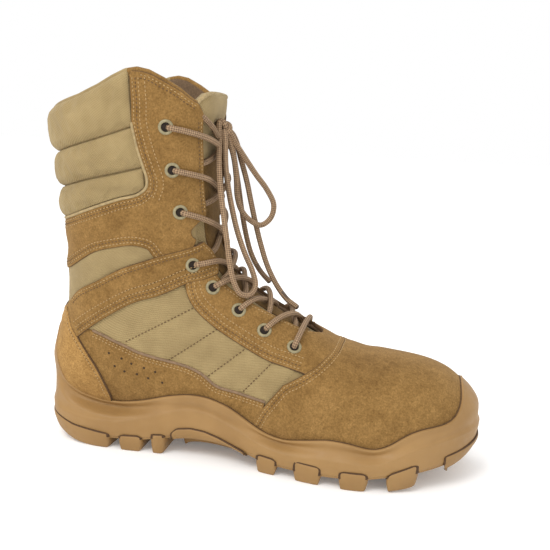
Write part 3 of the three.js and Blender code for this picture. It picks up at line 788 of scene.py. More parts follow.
def wall_depth(place):
    return WALL + (PADDING - WALL) * np.clip((place - 17) / 5, 0, 1)


outer_grid = shell_grid(lambda place: 0 * place)
inner_grid = shell_grid(wall_depth)
rim_rows = []
for angle in np.linspace(0, math.pi, 7)[1:-1]:
    across = (inner_grid[-1] - outer_grid[-1]) / 2
    upward = outer_grid[-1] - outer_grid[-4]
    upward /= np.linalg.norm(upward, axis=1, keepdims=True)
    rim_rows.append(outer_grid[-1] + across * (1 - math.cos(angle)) + upward * 2.4 * math.sin(angle))
sheet = np.concatenate([outer_grid, np.array(rim_rows), inner_grid[::-1]])
rows, columns = sheet.shape[:2]
faces = [tuple(f) for f in grid_faces(rows, columns)]
for column in (0, columns - 1):
    for i in range(len(rise) - 1):
        a, b = i * columns + column, (i + 1) * columns + column
        c, d = (rows - 2 - i) * columns + column, (rows - 1 - i) * columns + column
        faces.append((a, b, c, d) if column else (d, c, b, a))
last, first = len(rise) - 1, rows - len(rise)
for column in (0, columns - 1):
    faces.append(tuple((i * columns + column) for i in range(last, first + 1)))
toe_outer, toe_inner = 0, (rows - 1) * columns
faces.append(tuple(range(toe_outer, toe_outer + columns)))
faces.append(tuple(range(toe_inner + columns - 1, toe_inner - 1, -1)))
shell = piece("shell", sheet.reshape(-1, 3), faces, [twill, lining, suede], replaces=("upper",))
outer_faces = (len(outer_grid) + 2) * (columns - 1)
shell.data.polygons.foreach_set("material_index", [0 if k < outer_faces else 1 for k in
                                                   range(len(shell.data.polygons))])
for face in shell.data.polygons:
    if (rows - len(rise) - 7) * (columns - 1) <= face.index < (rows - len(rise)) * (columns - 1):
        face.material_index = 2 if face.center.x / MM + origin[0] > SUEDE_RIM_FROM else 0
point_outwards(shell)
print("shell faces:", len(shell.data.polygons))

# %% [markdown]
# ## Suede and cloth panels
# From the outside the boot is a patchwork: a plain vamp over the toe, lower facings that hold four pairs
# of eyelets, an ankle strap, the leg's facings with a band round the back, a heel counter, and a low
# foxing along the sole. Cloth shows between them. Each panel runs a few millimetres under its neighbour.

# %% Panels that wrap the toe and the leg
SOLE_EDGE = ((-2, 80), (6, 79), (7.5, 66), (9, 50), (14, 40.6), (24, 34), (40, 30.8), (56, 30.4),
             (74, 34.6), (92, 41), (108, 44.6), (122, 44), (137, 39.6), (152, 30.6), (162, 24.6),
             (173, 22.6), (187, 26), (204, 29.6), (218, 28.8), (234, 25.4), (243, 28), (255, 36.4),
             (264, 39.6), (270, 40.4), (278, 41.4), (284, 43), (289, 47.4), (293, 55), (297, 61),
             (302, 63))
TUCK = 7.0      # how far panels run down inside the sole


def feather(x_from, x_to, count):
    """The hidden lower edge of a panel, a little below the sole's rim."""
    return [(x, max(line_height(SOLE_EDGE, x) - TUCK, 24.0)) for x in np.linspace(x_from, x_to, count)]


def vamp_rise(surface):
    """The vamp lies over the lower facings at its top, and so stands higher there."""
    behind = np.clip((208 - surface[:, 0]) / 12, 0, 1)
    high = np.clip((surface[:, 2] - 58) / 8, 0, 1)
    return 1.3 * behind * high


toe_line = [(x, z) for x, z in feather(146, 286, 22)] + [(290, 48), (0.15, 0.25, None), (0.1, 0.0, None)]
vamp_top = [front_at(200.5), (199, 77.5), (193, 71.5), (186, 67), (179, 63), (172, 59)]
vamp_side = [(172, 59), (162, 46), (158, 40), (153, 30), (147, 20)]
vamp_half = outline_of([vamp_top, vamp_side, toe_line], 0)
# cut edges and painted shade: panel edge walls and the outer half of each rounded top edge are near-black,
# the suede's own dark cut edge together with painted shade where the edge turns over
cut_edge_and_shade = plain_material("cut_edge_and_shade", (0.10, 0.052, 0.02), 0.95)
vamp = panel("vamp", mirrored(vamp_half), 0, suede, 1.5, cut=cut_edge_and_shade,
             lift=lambda surface, away, flat: vamp_rise(surface))

throat_low = [(float(p), float(throat_turn(p)), None) for p in np.linspace(9.12, 15.0, 14)]
eyestay_border = [(101, 121), (105, 108), (120, 93), (139, 82), (159, 73), (171, 70), (182, 67.5)]
eyestay_front = [(182, 67.5), (189, 66), (197, 70), (204, 76), front_at(206)]
eyestay_half = outline_of([eyestay_front[::-1], eyestay_border[::-1],
                           [(101, 121), (110, 126), throat_low[-1]], throat_low[::-1]], 0)
eyestay = panel("lower_facings", mirrored(eyestay_half), 0, suede, 2.2, cut=cut_edge_and_shade)
print("vamp and lower facings:", len(vamp.data.polygons), len(eyestay.data.polygons))

# %% [markdown]
# ## Strap, leg and heel
# The ankle strap lies on top of its neighbours and pulls the heel back. The leg's facings hold four pairs of
# eyelets and join round the back as one band. The counter cups the heel and is the thickest, lightest suede.

# %% Strap, leg suede and heel counter
strap_top = [(14, 93), (21, 100), (29, 109), (43, 117.5), (60, 127.5), (84, 137), (105, 144), (110, 147)]
strap_end = [(110, 147), (114, 141), (118, 132), (120, 124.5)]
strap_low = [(120, 124.5), (113, 122), (104, 120), (96, 116), (86, 111), (69, 105), (52, 95), (39, 85.5),
             (29, 77), (22, 70)]
for side, where in ((-1, "lateral"), (1, "medial")):
    outline = outline_of([strap_top, strap_end, strap_low, [(22, 70), (14, 93)]], 0.5, side)
    panel("ankle_strap_" + where, outline, 0.5, suede, 2.7, cut=cut_edge_and_shade)

OVERHANG = 3.0 / GIRTH      # the facing reaches this far past the shell's edge, as a part of a turn
throat_high = [(float(p), float(throat_turn(p)) - OVERHANG, None) for p in np.linspace(17.9, 24.2, 18)]
collar_top = [(p, s * (1 - 2 * throat_turn(p)) + throat_turn(p), None) for p, s in
              zip(collar_places, shares) if s < 0.5]
roll_corner = seen_at(66, 251)[1]
facing_rim = [p for p in collar_top if p[1] < roll_corner]
roll_front = [(66, 251), (67, 236), (67.5, 222), (71, 207), (75, 195), (77.5, 186), (76, 181)]
band_top = [back_at(153), (9, 154), (26, 160), (41, 166), (58, 172.5), (72, 177), (76, 181)]
band_low = [(83, 134), (80, 138), (77, 141.5), (67, 143), (56, 141), (42, 137), (32, 131), (22, 124.5),
            (10, 120.5), back_at(119.5)]
facing_side = [t for t in throat_high[::-1] if t[0] < collar_top[0][0] - 0.3]
facing_foot = [throat_high[0], (110.5, 163.5), (106.5, 158.5), (104, 155), (104.4, 151), (106.5, 148),
               (104, 140)]
leg_half = outline_of([band_top, roll_front[::-1], facing_rim[::-1][::4] + [collar_top[0]],
                       [collar_top[0]] + facing_side, facing_foot, [(104, 140), (88, 133), (83, 134)],
                       band_low], 0.5)
leg = panel("leg_facings_and_band", mirrored(leg_half), 0.5, suede, 1.5, cut=cut_edge_and_shade)

counter_top = [back_at(98), (10, 97), (19, 95)]
counter_front = [(19, 95), (24, 84), (29, 77), (39, 62), (46, 49), (50.5, 36), (49, 24)]
counter_half = outline_of([counter_top, counter_front, feather(49, 12, 6) + [back_at(36)]], 0.5)


def counter_lift(surface, away, flat):
    """The counter thins out at its upper corner, where nothing lies under it."""
    high = np.clip((surface[:, 2] - 86) / 10, 0, 1)
    behind = np.clip((18 - surface[:, 0]) / 8, 0, 1)
    return -2.0 * high * behind


counter = panel("heel_counter", mirrored(counter_half), 0.5, suede_light, 3.2, cut=cut_edge_and_shade,
                lift=counter_lift)
print("leg and counter:", len(leg.data.polygons), len(counter.data.polygons))

# %% [markdown]
# ## Foxing and quarter cloth
# The foxing is the low suede along the sole. Above it the quarter is thin cloth, quilted with four seams, so
# it swells a little between them. Both are cut once and turned over for the other side.

# %% Foxing and quarter cloth, on both sides
quarter_low = [(34, 84), (40, 83), (49, 79.5), (60, 75), (73, 70), (91, 66.5), (108, 63), (117, 59),
               (127, 52.5), (142, 50), (161, 47)]
QUILTS = (((63, 77), (107, 103)), ((93, 67), (124, 90)), ((121, 59), (143, 78)), ((144, 50), (163, 72)))
quilt_lines = [np.array(curve_through(q, spacing=2.0)) for q in QUILTS]


def quilted(surface, away, flat):
    """Grooves along the quilting and a slight fullness between them."""
    near = np.min([distance_to(surface[:, [0, 2]], line, False) for line in quilt_lines], axis=0)
    near = np.minimum(near, away)
    return 1.0 * (1 - np.exp(-(near / 2.6) ** 2)) - 0.4


for side, where in ((-1, "lateral"), (1, "medial")):
    under = [(x, z - 4) for x, z in quarter_low]
    cloth = outline_of([
        [(24, 78), (39, 92), (52, 101), (69, 111), (86, 117), (100, 121)],
        [(100, 121), (112, 108), (124, 97), (141, 87), (160, 78), (175, 74), (180, 68)],
        [(180, 68), (172, 59), (165, 50), (163, 44)], under[::-1] + [(24, 78)]], 0.5, side)
    panel("quarter_cloth_" + where, cloth, 0.5, twill, 0.5, lift=quilted, spacing=1.8)
    low = outline_of([
        quarter_low, [(161, 47), (160, 40), (156, 30), (151, 20)], feather(151, 42, 24),
        [(42, 24), (44, 36), (40, 49), (33, 62), (24, 76), (34, 84)]], 0.5, side)
    panel("foxing_" + where, low, 0.5, suede, 1.3, cut=cut_edge_and_shade)

patch_half = outline_of([
    [back_at(122), (10, 125), (22, 130), (32, 137), (42, 142), (56, 147), (67, 149), (80, 147), (88, 141)],
    [(88, 141), (84, 131), (60, 122), (43, 112), (29, 103), (18, 90), back_at(86)]], 0.5)
ankle = panel("ankle_cloth", mirrored(patch_half), 0.5, twill_collar, 0.6, spacing=2.4)
print("ankle cloth faces:", len(ankle.data.polygons))

# %% [markdown]
# ## Padded collar rolls
# Three rolls of foam under cloth ring the leg behind the facings. Each is a closed pillow that pulls in
# at its seams and is fullest in the middle.

# %% Rolls
ROLL_FULLNESS, ROLL_SHOULDER = 4.0, 11.0
CLOTH_FRAMES = 16
HELD_WIDTH, MOST_MOVED = 1.1, 2.4       # millimetres held beside a seam, and the cap on the movement
CLOTH = {"quality": 6, "mass": 0.0001, "air_damping": 2.0, "tension_stiffness": 12.0,
         "compression_stiffness": 12.0, "shear_stiffness": 3.0, "bending_stiffness": 0.0005,
         "use_pressure": True, "uniform_pressure_force": 7.0, "shrink_min": -0.04}


def padded_lift(surface, away, flat):
    swell = np.sqrt(np.clip(1 - (1 - np.clip(away / ROLL_SHOULDER, 0, 1)) ** 2, 0, 1))
    ripple = 0.12 * np.sin(flat[:, 1] * 0.9 + 1.5 * np.sin(flat[:, 1] * 0.23)) * np.exp(-away / 3.0)
    return ROLL_FULLNESS * swell + ripple


def inflate(made):
    """Blows a pad up as cloth that is held along its seams, and keeps the shape where it settles."""
    scene = bpy.context.scene
    blown = bpy.data.objects.new("blown", made.data.copy())
    scene.collection.objects.link(blown)
    away = np.empty(len(made.data.vertices), np.float32)
    made.data.attributes["away"].data.foreach_get("value", away)
    held = blown.vertex_groups.new(name="held")
    held.add([int(i) for i in np.flatnonzero(away < HELD_WIDTH)], 1.0, "REPLACE")
    modifier = blown.modifiers.new("cloth", "CLOTH")
    modifier.point_cache.frame_start = 1
    modifier.point_cache.frame_end = CLOTH_FRAMES
    for key, value in CLOTH.items():
        setattr(modifier.settings, key, value)
    modifier.settings.effector_weights.gravity = 0.0
    modifier.collision_settings.use_collision = False
    modifier.settings.vertex_group_mass = "held"
    for step in range(1, CLOTH_FRAMES + 1):
        scene.frame_set(step)
    graph = bpy.context.evaluated_depsgraph_get()
    settled = np.empty(len(away) * 3, np.float32)
    blown.evaluated_get(graph).data.vertices.foreach_get("co", settled)
    before = np.empty(len(away) * 3, np.float32)
    made.data.vertices.foreach_get("co", before)
    moved = (settled - before).reshape(-1, 3) / MM
    size = np.linalg.norm(moved, axis=1, keepdims=True)
    moved *= np.minimum(1.0, MOST_MOVED / np.maximum(size, 1e-6))
    made.data.vertices.foreach_set("co", before + (moved * MM).ravel())
    made.data.update()
    bpy.data.objects.remove(blown)
    scene.frame_set(1)
    print(made.name, "moved, mm:", size.max().round(2), "mean", size.mean().round(2))


def roll(name, high, low):
    """A roll between two lines seen from the side, mirrored round the back."""
    half = outline_of([high, [high[-1], low[-1]], low[::-1]], 0.5)
    made = panel(name, mirrored(half), 0.5, twill_collar, 0.3, edge=0.8, lift=padded_lift,
                 spacing=1.6)
    inflate(made)


top_line = [p for p in collar_top if p[1] > roll_corner][::-1][::5]
top_line = [(float(collar_places[len(shares) // 2]), 0.5, None)] + top_line + [(65.5, 250.5)]
roll("collar_roll_top", top_line, [back_at(200.5), (9, 201), (20, 204), (33, 208), (47, 212.5), (61, 217.5),
                                   (68, 220)])
roll("collar_roll_middle", [back_at(200), (9, 200.5), (20, 203.5), (33, 207.5), (47, 212), (61, 217),
                            (68, 219.5)],
     [back_at(176.5), (8, 177), (24, 181), (41, 186), (55, 189.5), (66, 192.5), (75, 195)])
roll("collar_roll_low", [back_at(176), (8, 176.5), (24, 180.5), (41, 185.5), (55, 189), (66, 192),
                         (75, 194.5)],
     [back_at(154.5), (9, 155.5), (26, 161), (41, 167.5), (58, 174), (71, 178), (76, 182)])
print("rolls ready")

# %% [markdown]
# ## The cup sole
# A moulded rubber cup grips the feather edge of the upper. Its wall stands on the sole's outline, swells a
# little to a soft ridge, then leans in until it lies against the upper, and its rim is rounded. The wall
# is one closed loft: at every station round the outline a ray finds the upper, so rim and suede meet.

# %% Outline and heights of the sole
SOLE_OUTLINE = ((-0.6, -5, 5), (1.2, -14, 14), (6, -23.5, 23.5), (14, -30, 30), (26, -35, 34.5),
                (44, -38, 37.2), (62, -38.4, 37), (84, -37.4, 34.6), (106, -37, 32.6), (130, -39, 33),
                (156, -44.6, 36.8), (182, -50.6, 42.4), (206, -54.6, 47.4), (228, -54.8, 50.4),
                (248, -50.6, 50.2), (264, -44, 48), (278, -34.6, 43.4), (288, -25.2, 37.2),
                (295, -14.6, 29), (299, -4, 20), (300.3, 4, 12))
SOLE_GROUND = ((-2, 15), (4, 10.4), (12, 6), (24, 1.6), (36, 0), (92, 0), (108, 6), (122, 6), (137, 4),
               (152, 0), (234, 0), (243, 0.6), (255, 2.2), (264, 4.4), (270, 10), (278, 12),
               (284, 13.8), (288, 15.2), (292, 17), (302, 23))
SOLE_TREAD = ((-2, 15), (4, 11.6), (12, 9.4), (24, 8), (40, 7.4), (56, 7.4), (74, 8), (92, 11.6),
              (108, 14.6), (122, 15), (137, 13.6), (152, 9.4), (162, 7), (173, 6.2), (187, 6),
              (204, 6.2), (218, 6.8), (234, 8.2), (243, 9.6), (255, 11), (267, 13), (278, 15),
              (284, 16.6), (288, 18.2), (292, 20.2), (302, 26.4))
SOLE_RIDGE = ((-2, 27), (4, 24.5), (12, 22), (24, 20), (40, 19), (56, 19.6), (74, 23.5), (92, 29.8),
              (108, 34.2), (122, 32.8), (137, 27.6), (152, 22.6), (162, 18.6), (173, 16.8), (187, 16.8),
              (204, 18.4), (218, 17.8), (234, 17.6), (243, 20.2), (255, 26.6), (267, 31), (278, 33.4),
              (288, 35), (302, 36))
SOLE_BLOCK = ((-2, 41), (4, 38), (12, 32.6), (24, 26.6), (40, 23), (56, 22.4), (74, 25), (92, 30.4),
              (108, 34.4), (122, 33), (137, 27.6), (152, 23), (162, 19.4), (173, 17.6), (187, 17.8),
              (204, 19.8), (218, 19), (234, 18), (243, 20.6), (255, 27.6), (267, 32.6), (278, 35.4),
              (288, 37), (302, 38))
CUP_WALL = 4.6
RAY_FROM, RAY_LENGTH = 20, 75       # rays that look for the upper start outside the sole
WALL_FIXED_ROWS = 14                # the lowest rows, which are not smoothed along the outline


def soft_height(line, x):
    """Height along the sole, rounded at the table's corners."""
    return np.mean([line_height(line, np.asarray(x) + d) for d in (-4, -2, 0, 2, 4)], axis=0)


outline_points = [(x, low) for x, low, _ in SOLE_OUTLINE]
outline_points += [(x, high) for x, _, high in SOLE_OUTLINE[::-1]]
sole_loop = curve_through(outline_points, closed=True, spacing=1.8)
loop_along = np.roll(sole_loop, -1, 0) - np.roll(sole_loop, 1, 0)
loop_along /= np.linalg.norm(loop_along, axis=1, keepdims=True)
loop_out = np.stack([loop_along[:, 1], -loop_along[:, 0]], -1)
print("stations round the sole:", len(sole_loop))

# %% [markdown]
# ## Painted shade at the rim
# Where rubber meets suede a thin dark line of shade falls. It is painted as a small near-black ring that
# follows the rim.

# %% A closed ring round the boot


def closed_ring(name, line, radius, sides=6):
    """A closed ring of small section round the boot."""
    along = np.roll(line, -1, 0) - np.roll(line, 1, 0)
    along /= np.linalg.norm(along, axis=1, keepdims=True)
    aside = np.cross(along, [0, 0, 1.0])
    aside /= np.linalg.norm(aside, axis=1, keepdims=True)
    upward = np.cross(aside, along)
    rings = np.array([line + radius * (aside * math.cos(a) + upward * math.sin(a))
                      for a in np.linspace(0, 2 * math.pi, sides + 1)])
    count = len(line)
    faces = []
    for k in range(sides):
        here, beyond = k * count, (k + 1) % sides * count
        faces += [(here + i, here + (i + 1) % count, beyond + (i + 1) % count, beyond + i)
                  for i in range(count)]
    made = piece(name, rings[:-1].reshape(-1, 3), faces, cut_edge_and_shade)
    point_outwards(made)
    print(name, "faces:", len(made.data.polygons))


# %% [markdown]
# ## The wall
# The wall is moulded in one piece with the toe guard and the heel strip. Each station is a short column of
# heights and offsets, from under the sole, over the ridge and up the lean to the rim.

# %% Wall of the cup sole
form_quads = [tuple(q) for q in grid_faces(len(form), STEPS_AROUND, wrap=True).tolist()]
form_tree = BVHTree.FromPolygons([tuple(p) for p in form.reshape(-1, 3)], form_quads)


def gap_to_form(point, out, z):
    """How far the form lies from the outline along the outward direction (negative is inwards)."""
    start = Vector((point[0] + out[0] * RAY_FROM, point[1] + out[1] * RAY_FROM, z))
    hit = form_tree.ray_cast(start, Vector((-out[0], -out[1], 0)), RAY_LENGTH)
    return None if hit[0] is None else RAY_FROM - hit[3]


def wall_station(point, out):
    x = point[0]
    tables = (SOLE_TREAD, SOLE_RIDGE, SOLE_BLOCK, SOLE_EDGE)
    tread, ridge, block, edge = (float(soft_height(table, x)) for table in tables)
    block = max(block, ridge)
    rows = [(tread + 1.2, -9.0), (tread + 1.2, -1.6), (tread + 1.6, -0.7), (tread + 2.8, -0.3)]
    for share in np.linspace(0, 1, 6):
        rows.append((tread + 4 + (ridge - tread - 5) * share, -0.3 + 0.9 * math.sin(share * 1.9)))
    rows.append((ridge, 0.75))
    gap = -6.0
    for share in np.linspace(0.08, 1, 12):
        z = ridge + (edge - ridge) * share
        found = gap_to_form(point, out, z)
        gap = gap if found is None else found
        lean = min(1.0, max(0.0, z - block) / max(edge - block, 1.0) * 1.5)
        lean = lean * lean * (3 - 2 * lean)
        inset = -0.9 * min(1.0, share * 5) + 0.6 * min(1.0, share * 1.4)
        rows.append((z - 0.4 * share, (1 - lean) * inset + lean * (gap + CUP_WALL - 0.3 * share)))
    for lift, stand in ((0.35, 4.1), (0.6, 3.4), (0.55, 2.7), (0.1, 2.0), (-1.2, 1.4), (-5.0, 0.4)):
        rows.append((edge + lift, gap + stand))
    rows.append((tread + 4.0, min(-10.0, gap - 4)))
    return [(point[0] + out[0] * offset, point[1] + out[1] * offset, z) for z, offset in rows]


wall_rows = np.array([wall_station(p, o) for p, o in zip(sole_loop, loop_out)]).transpose(1, 0, 2)
for _ in range(3):
    leaning = wall_rows[WALL_FIXED_ROWS:]
    wall_rows[WALL_FIXED_ROWS:] = (np.roll(leaning, 1, 1) + 2 * leaning + np.roll(leaning, -1, 1)) / 4
rows, columns = wall_rows.shape[:2]
wall_faces = [tuple(f) for f in grid_faces(rows, columns, wrap=True)]


def loop_cap(row, start):
    """Triangles that close a loop, by its plan."""
    plan = row[:, :2]
    found = delaunay_2d_cdt([Vector(p) for p in plan], [], [list(range(len(plan)))], 1, 1e-6)
    lookup = nearest_rows(plan, np.array([tuple(v) for v in found[0]]))
    return [tuple(int(lookup[i]) + start for i in f) for f in found[2]]


wall_faces += loop_cap(wall_rows[0], 0) + loop_cap(wall_rows[-1], (rows - 1) * columns)
cup = piece("cup_sole", wall_rows.reshape(-1, 3), wall_faces, rubber, replaces=("midsole",))
point_outwards(cup)
# painted shade: a thin near-black ring along the rim stands in for the shadow where rubber meets suede
rim_line = wall_rows[-4] + np.array([0, 0, 0.25])
closed_ring("rim_crease", rim_line, 0.6)
print("cup sole faces:", len(cup.data.polygons))

# %% [markdown]
# ## The tread
# The outsole is a thin plate with lugs. A lug follows the outline, leans in towards the ground, has rounded
# corners and rises a little way up the wall, with a soft upper edge. A thin near-black rim of painted shade
# outlines the outer lugs where they meet the wall.

# %% Lugs
LUGS = (("heel", -30, 54, 15, 0, "horseshoe", ((-2, 19), (12, 16), (24, 13.2), (54, 10.4))),
        ("heel middle", 31, 48, -10, 10, "centre", None),
        ("heel front", 59, 76, 6, 60, "each", ((59, 10.9), (76, 11.6))),
        ("heel breast", 80, 93, 0, 0, "both", ((80, 13.4), (93, 14.4))),
        ("arch block", 100, 142, 12, 24, "each", None),
        ("arch insert", 95.5, 151, 22, 60, "each",
         ((95, 16.5), (101, 20), (110, 21.4), (120, 20.6), (130, 18), (140, 14.6), (150, 11.2), (157, 8.8))),
        ("waist", 157, 172, 8, 60, "each", ((157, 12.6), (172, 11.4))),
        ("ball middle 1", 176, 190, -15, 15, "centre", None),
        ("ball back", 183, 202, 22, 60, "each", ((183, 13.6), (202, 12.6))),
        ("ball middle 2", 198, 212, -15, 15, "centre", None),
        ("ball front", 213, 232, 22, 60, "each", ((213, 12.2), (232, 12.2))),
        ("ball middle 3", 220, 234, -15, 15, "centre", None),
        ("toe side", 243, 263, 20, 60, "each", ((243, 11.8), (250, 14.6), (263, 19.4))),
        ("toe middle", 243, 262, -12, 14, "centre", None),
        ("toe tip", 277, 340, 0, 0, "both", ((275, 21), (284, 23), (302, 27))))
LUG_PROUD, LUG_CORNER = 1.2, 4.2        # how far a lug stands past the outline, and its corner's radius
SHADE_WIDE, SHADE_FACE = 0.34, 0.42       # the painted shade rim's width, and how far it hides behind a lug's face
toe_at = int(np.argmax(sole_loop[:, 0]))
proud_loop = sole_loop + loop_out * LUG_PROUD
lateral_run = proud_loop[:toe_at + 1]
medial_run = proud_loop[toe_at:]


def side_of(sign, x):
    run = lateral_run if sign < 0 else medial_run[::-1]
    keep = np.concatenate([[True], np.diff(run[:, 0]) > 0])
    return np.interp(x, run[keep, 0], run[keep, 1])


def lug_plan(low, high, inner, outer, side, sign):
    if side == "horseshoe":
        runs = [run[run[:, 0] <= high] for run in (medial_run, lateral_run)]
        corners = np.vstack([*runs, [(high, -inner), (26, -inner), (26, inner), (high, inner)]])
    elif side == "both":
        runs = [run[(run[:, 0] >= low) & (run[:, 0] <= high)] for run in (lateral_run, medial_run)]
        corners = np.vstack(runs)
    else:
        xs = np.linspace(low, high, 8)
        if side == "centre":
            far, near = np.full(8, float(outer)), np.full(8, float(inner))
        else:
            far = sign * np.minimum(outer, sign * side_of(sign, xs))
            near = np.full(8, float(sign * inner))
        corners = np.vstack([np.stack([xs, far], -1), np.stack([xs, near], -1)[::-1]])
    spacing = np.linalg.norm(np.roll(corners, -1, 0) - corners, axis=1)
    dense = [a + (b - a) * t for a, b, gap in zip(corners, np.roll(corners, -1, 0), spacing)
             for t in np.linspace(0, 1, max(2, int(gap / 1.1) + 1))[:-1]]
    dense = np.array(dense)
    for _ in range(9):
        dense = (np.roll(dense, 1, 0) + 2 * dense + np.roll(dense, -1, 0)) / 4
    turning = dense[:, 0] * np.roll(dense[:, 1], -1) - dense[:, 1] * np.roll(dense[:, 0], -1)
    return dense if turning.sum() > 0 else dense[::-1]


def outwards(plan):
    along = np.roll(plan, -1, 0) - np.roll(plan, 1, 0)
    along /= np.maximum(np.linalg.norm(along, axis=1, keepdims=True), 1e-9)
    return np.stack([along[:, 1], -along[:, 0]], -1)


def lug_top(plan, low, high, tops):
    """Height of a lug's upper edge round its plan: a line between its ends with rounded corners."""
    if tops is None:
        return soft_height(SOLE_TREAD, plan[:, 0]) + 1.0
    near = np.clip(LUG_CORNER - np.minimum(plan[:, 0] - low, high - plan[:, 0]), 0, LUG_CORNER)
    return line_height(tops, plan[:, 0]) - 0.8 * (LUG_CORNER - np.sqrt(LUG_CORNER ** 2 - near ** 2))


def lug_shade_layers(plan, top, ground):
    """A near-black rim of painted shade just behind a lug's face, a little wider and higher than it."""
    facing = distance_to(plan, proud_loop) > 0.7
    stand = np.where(facing, SHADE_WIDE, -SHADE_FACE)[:, None]
    covered = ground + 0.5 * (top - ground) + 0.3
    start_ = soft_height(SOLE_TREAD, plan[:, 0]) + 0.7
    start_ = np.minimum(np.where(facing, start_, np.maximum(start_, covered)), top - 0.8)
    out = outwards(plan)
    return np.array([np.column_stack([plan + out * (stand - inset), z]) for z, inset in (
        (start_, 3.0), (start_ + 0.2, 0.0), (top, 0.0), (top + SHADE_WIDE, 0.12), (top + SHADE_WIDE, 1.6),
        (top, 4.0))])


def lug_layers(plan, top, ground):
    middle = ground + 0.5 * (top - ground)
    return np.array([np.column_stack([plan - outwards(plan) * inset, z]) for z, inset in (
        (ground, 3.0), (ground, 2.1), (ground + 0.35, 1.55), (ground + 1.1, 1.3), (middle, 0.35),
        (np.maximum(top - 1.8, middle + 0.2), 0.1), (top - 0.8, 0.22), (top - 0.25, 0.6), (top, 1.3),
        (top - 0.4, 3.5))])


tread_points, tread_faces = [], []


def add_loft(layers):
    start = sum(len(p) for p in tread_points)
    rows, columns = layers.shape[:2]
    tread_points.append(layers.reshape(-1, 3))
    tread_faces.extend(tuple(i + start for i in f) for f in grid_faces(rows, columns, wrap=True).tolist())
    tread_faces.extend(loop_cap(layers[0], start))
    tread_faces.extend(loop_cap(layers[-1], start + (rows - 1) * columns))


plate_z = soft_height(SOLE_TREAD, sole_loop[:, 0])
add_loft(np.array([np.column_stack([sole_loop + loop_out * o, plate_z + z])
                   for z, o in ((0, -4), (0, -1.6), (0.3, -1.0), (2.0, -0.8), (2.4, -3.0))]))
outer_lugs = []
for name, low, high, inner, outer, side, tops in LUGS:
    for sign in (-1, 1) if side == "each" else (-1,):
        plan = lug_plan(low, high, inner, outer, side, sign)
        top = lug_top(plan, low, high, tops)
        ground = soft_height(SOLE_GROUND, plan[:, 0])
        if name == "arch insert":
            ground = soft_height(SOLE_TREAD, plan[:, 0]) - 0.9
        top = np.maximum(top, ground + 1.2)
        add_loft(lug_layers(plan, top, ground))
        if tops is not None:
            outer_lugs.append((plan, top, ground))
tread = piece("tread", np.vstack(tread_points), tread_faces, rubber_tread, replaces=("outsole",))
point_outwards(tread)
tread_points, tread_faces = [], []
for outer_lug in outer_lugs:
    add_loft(lug_shade_layers(*outer_lug))
# painted shade: the near-black rims round the outer lugs stand in for the shadow where each lug meets the
# wall
lug_shade_paint = plain_material("lug_shade_paint", (0.075, 0.036, 0.014), 0.9)
lines = piece("tread_part_lines", np.vstack(tread_points), tread_faces, lug_shade_paint)
point_outwards(lines)
print("tread faces:", len(tread.data.polygons))

# %% [markdown]
# ## The tongue
# A padded tongue fills the throat below the lace: cloth over foam, a bound edge, and a suede strip under
# the crossings where the lace would rub. It comes from the same form, a few millimetres deeper.

# %% Tongue
TONGUE = np.array([(8.9, 12), (9.6, 18), (11, 22.5), (12, 24.5), (13, 26.5), (14, 28.5), (15, 30.5), (16, 33),
                   (17, 33.5), (18, 33.5), (19.5, 34.5), (21, 36), (22.4, 37), (22.9, 36), (23.25, 32),
                   (23.42, 24)])
TONGUE_TOP = -3.4


def tongue_edge(inset=0.0, low=8.9, high=23.42):
    places = np.linspace(low, high, 60)
    half = np.interp(places, TONGUE[:, 0], TONGUE[:, 1]) - inset
    lengths = np.linalg.norm(np.diff(form, axis=1, append=form[:, :1]), axis=2).sum(1)
    turn = half / np.interp(places * STEPS_PER_SECTION, np.arange(len(form)), lengths)
    return [(float(p), float(t), None) for p, t in zip(places, turn)]


def tongue_lift(surface, away, flat):
    crown = 1.2 * np.sqrt(np.clip(1 - (1 - np.clip(away / 6.0, 0, 1)) ** 2, 0, 1))
    flare = 2.6 * np.clip((flat[:, 0] - tongue_flare_from) / 22.0, 0, 1) ** 2
    return crown + flare


tongue_flare_from = float(to_pattern(21.6, 0.0, 0.0)[0])
edge_right = edge_of(tongue_edge(), 0, spacing=1.6)
tongue_half = closed_outline(edge_of([(8.9, 0.0, None), tongue_edge()[0]], 0), edge_right,
                             edge_of([tongue_edge()[-1], (23.46, 0.0, None)], 0))
tongue = panel("tongue", mirrored(tongue_half), 0, twill, TONGUE_TOP - 0.9, bottom=-7.0, edge=1.0,
               lift=tongue_lift)
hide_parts("tongue")
strip = tongue_edge(13.0, 9.6, 20.5)
strip_half = outline_of([[(9.6, 0.0, None), strip[0]], strip, [strip[-1], (20.5, 0.0, None)]], 0)
suede_dark = suede_material("suede_tongue", 0.62)
panel("tongue_strip", mirrored(strip_half), 0, suede_dark, TONGUE_TOP + 0.9, bottom=-5.0,
      cut=cut_edge_and_shade)
print("tongue faces:", len(tongue.data.polygons))

# %% [markdown]
# ## Eyelets, stitches and perforations
# These repeat along edges, so Geometry Nodes place them. Each tree takes points or lines that carry the
# surface normal, turns one small shape to it, realizes the copies and sets their material. The result is
# read back as a plain mesh and the modifier goes.

# %% Geometry Nodes helpers


def new_tree(name, inputs):
    tree = bpy.data.node_groups.new(name, "GeometryNodeTree")
    tree.interface.new_socket("Geometry", in_out="INPUT", socket_type="NodeSocketGeometry")
    for label, kind, value in inputs:
        socket = tree.interface.new_socket(label, in_out="INPUT", socket_type=kind)
        socket.default_value = value
    tree.interface.new_socket("Geometry", in_out="OUTPUT", socket_type="NodeSocketGeometry")
    return tree, tree.nodes.new("NodeGroupInput"), tree.nodes.new("NodeGroupOutput")


